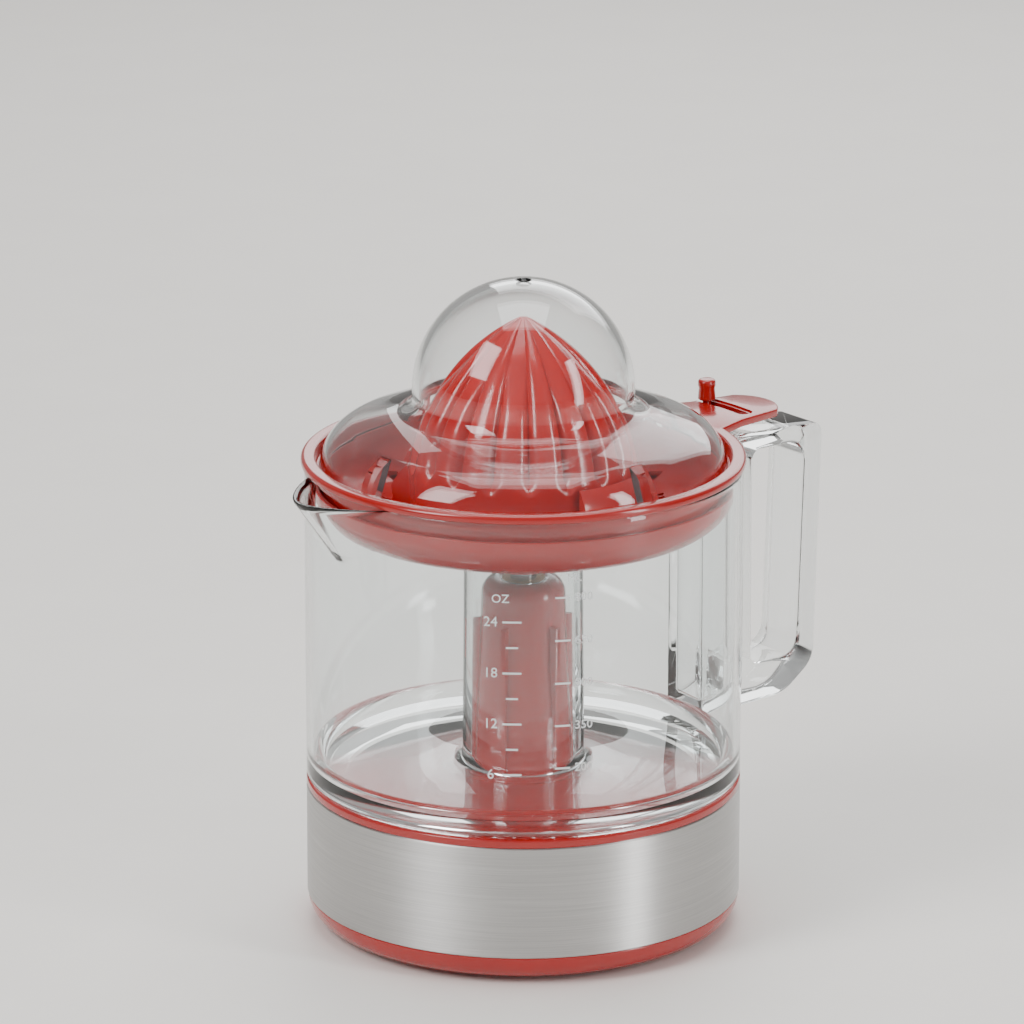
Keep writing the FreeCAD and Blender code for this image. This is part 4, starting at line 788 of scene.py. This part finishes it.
def wiper():
    under, bore = WIPER_LOW.z, CONE_RADIUS + 0.6
    ring = turned("sweeper", [(bore, under), (bore + 2.5, under), (bore + 2.5, under + 2), (bore, under + 2)],
                  steps=ROUND)
    outer, low, high = bore + 5.9, BOWL_FLOOR + 9.6, BOWL_FLOOR + 17.6

    def ramp(first):
        """A block whose top slopes up to the cone."""
        steps = 20
        corners = [(bore + 0.2, under + 0.2), (outer, under + 0.2), (outer, low - 1),
                   (outer - 0.8, low + 0.5), (bore + 1.1, high - 0.6), (bore + 0.6, high),
                   (bore + 0.2, high)]
        deselect()
        bpy.ops.mesh.primitive_circle_add(vertices=len(corners), radius=1)
        piece = bpy.context.object
        for vertex, (radius, height) in zip(piece.data.vertices, corners):
            vertex.co = (radius * MM, 0, height * MM)
        bpy.ops.object.mode_set(mode="EDIT")
        bpy.ops.mesh.select_all(action="SELECT")
        bpy.ops.mesh.edge_face_add()
        bpy.ops.mesh.select_all(action="SELECT")
        for _ in range(steps):
            bpy.ops.mesh.extrude_region_move()
            bpy.ops.transform.rotate(value=-math.radians(RAMP_ARC / steps), orient_axis="Z",
                                     center_override=(0, 0, 0))
        bpy.ops.mesh.select_all(action="SELECT")
        bpy.ops.mesh.normals_make_consistent(inside=False)
        bpy.ops.object.mode_set(mode="OBJECT")
        piece.rotation_euler.z = math.radians(first)
        return settle(piece)
    for turn in (0, 180):
        combine(ring, ramp(turn - RAMP_ARC / 2 + WIPER_TURN), "UNION")
        lug = box("lug", (CONE_RADIUS - 1.8, -1.7, under + 0.2), (bore + 1, 1.7, CONE_FOOT + 4),
                  turn + WIPER_TURN)
        combine(ring, lug, "UNION")
    deliver(soften(ring, 0.3), RED, "wiper", "red_abs", "pulp_wiper")


# ------------------------------------------------------------------ lid

def lid():
    seat, edge, brim = LID_SEAT, LID_RADIUS, 38.5
    centre, dome, wall = seat + 24.0, 33.0, 2.0
    foot = centre - 2.4
    reach, inside = math.sqrt(dome ** 2 - 2.4 ** 2), math.sqrt((dome - wall) ** 2 - 2.4 ** 2)
    outline = [(edge - wall, seat), (edge - 0.4, seat), (edge, seat + 0.4)]
    outline += arc((edge - 0.8, seat + 4), (51.5, seat + 13), 13.0, 10)
    outline += arc((brim, seat + 16.9), (reach, foot), -6.0, 10)
    outline += arc((reach, foot), (0, centre + dome), dome, 40)[1:]
    outline += arc((0, centre + dome - wall), (inside, foot), -(dome - wall), 40)
    outline += arc((inside, foot), (brim - 0.6, seat + 14.9), 8.0, 10)[1:]
    outline += arc((50.7, seat + 11), (edge - wall - 0.8, seat + 4), -11.0, 10)
    piece = turned("dome_lid", outline, steps=180)

    def gusset(turn):
        plan = [(edge - 6, seat + 1), (edge - 1, seat + 1), (edge - 1.6, seat + 4), (56.5, seat + 9.1),
                (51, seat + 12), (51, seat + 10.5)]
        blade = flat_piece("gusset", [plan], 4.5)
        blade.rotation_euler.x = math.pi / 2
        settle(blade)
        blade.rotation_euler.z = math.radians(turn)
        return settle(blade)
    for blade in ring_of(gusset, 4, 1.0):
        combine(piece, blade, "UNION")
    deselect()
    bpy.ops.mesh.primitive_uv_sphere_add(segments=48, ring_count=24, radius=3.4 * MM,
                                         location=(0, 0, (LID_HIGH.z + 2.3) * MM))
    combine(piece, settle(bpy.context.object), "DIFFERENCE")
    pick(piece)
    bpy.ops.object.shade_smooth_by_angle(angle=math.radians(32))
    deliver(piece, CLEAR, "lid", "clear_plastic", "lid")


for build in (base_pan, steel_band, motor_housing, jug, jug_marks, strainer, selector, peg, cone, wiper, lid):
    build()


# ------------------------------------------------------------------ floor, light and camera

def studio_floor():
    """A painted board: pale, matt, with a trace of roller texture."""
    deselect()
    bpy.ops.mesh.primitive_plane_add(size=6)
    floor = bpy.context.object
    floor.name = "floor"
    material, tree, shader = new_material("painted_board")
    blend_colours(tree, shader, grain(tree, 40).outputs[0], "#EFEBE6", "#F4F1EC")
    vary(tree, shader, "Roughness", grain(tree, 9).outputs[0], 0.5, 0.62)
    paint(floor, material)
    return floor


def soft_light(name, place, size, power):
    """A white rectangle of light, turned to the middle of the juicer."""
    deselect()
    bpy.ops.object.light_add(type="AREA", location=place)
    lamp = bpy.context.object
    lamp.name = name
    lamp.data.shape = "RECTANGLE"
    lamp.data.size, lamp.data.size_y = size
    lamp.data.energy = power
    lamp.rotation_euler = (Vector((0, 0, 0.1)) - place).to_track_quat("-Z", "Y").to_euler()
    return lamp


def camera():
    """A long lens to the front left of the juicer, a little above it."""
    azimuth, elevation, distance = math.radians(-38), math.radians(16.8), 2.11
    height, aside = 0.1261, 0.0034        # where it looks: above the floor, and left of the axis
    back = Vector((math.sin(azimuth) * math.cos(elevation), -math.cos(azimuth) * math.cos(elevation),
                   math.sin(elevation)))
    right = Vector((math.cos(azimuth), math.sin(azimuth), 0))
    target = Vector((0, 0, height)) - right * aside
    deselect()
    bpy.ops.object.camera_add(location=target + back * distance)
    view = bpy.context.object
    view.name = "camera"
    view.data.lens = 250
    view.data.sensor_width = 36
    view.rotation_euler = (-back).to_track_quat("-Z", "Y").to_euler()
    bpy.context.scene.camera = view
    return back, right


def studio_world(facing):
    """A pale room: bright behind the camera and overhead, dim at both sides, so that metal and clear
    plastic get dark upright edges."""
    world = bpy.data.worlds.new("studio")
    bpy.context.scene.world = world
    world.use_nodes = True
    tree = world.node_tree
    look = add_node(tree, "TexCoord")
    ahead = add_node(tree, "VectorMath", {"operation": "DOT_PRODUCT", 1: facing},
                     {0: look.outputs["Generated"]})
    share = add_node(tree, "MapRange", {"From Min": -1.0, "From Max": 1.0}, {"Value": ahead.outputs["Value"]})
    ramp = add_node(tree, "ValToRGB", {}, {0: share.outputs[0]})
    stops = ((0.0, "#F2EFEC"), (0.22, "#DAD8D6"), (0.40, "#5A5B5D"), (0.56, "#2C2D30"), (0.74, "#8F9093"),
             (0.88, "#FFFFFF"))
    while len(ramp.color_ramp.elements) < len(stops):
        ramp.color_ramp.elements.new(0.5)
    for element, (place, code) in zip(ramp.color_ramp.elements, stops):
        element.position = place
        element.color = colour(code)
    axes = add_node(tree, "SeparateXYZ", {}, {0: look.outputs["Generated"]})
    height = add_node(tree, "MapRange", {"From Min": 0.15, "From Max": 0.8}, {"Value": axes.outputs["Z"]})
    mix = add_node(tree, "Mix", {"data_type": "RGBA", 7: colour("#F4F4F4")},
                   {0: height.outputs[0], 6: ramp.outputs[0]})
    paper = tree.nodes["Background"]
    tree.links.new(mix.outputs[2], paper.inputs["Color"])
    paper.inputs["Strength"].default_value = 0.5


back, right = camera()
up = Vector((0, 0, 1))
level = Vector((back.x, back.y, 0)).normalized()
lamps = [
    soft_light("key", level * 0.7 - right * 0.9 + up * 1.0, (0.5, 0.9), 15),
    soft_light("strip", level * 0.6 + right * 1.0 + up * 0.4, (0.18, 1.0), 8),
    soft_light("top", up * 1.5 - level * 0.2, (0.9, 0.9), 10),
    soft_light("back", -level * 1.2 + up * 0.8 + right * 0.3, (1.2, 0.8), 9),
]
studio_world(level)
studio_floor()
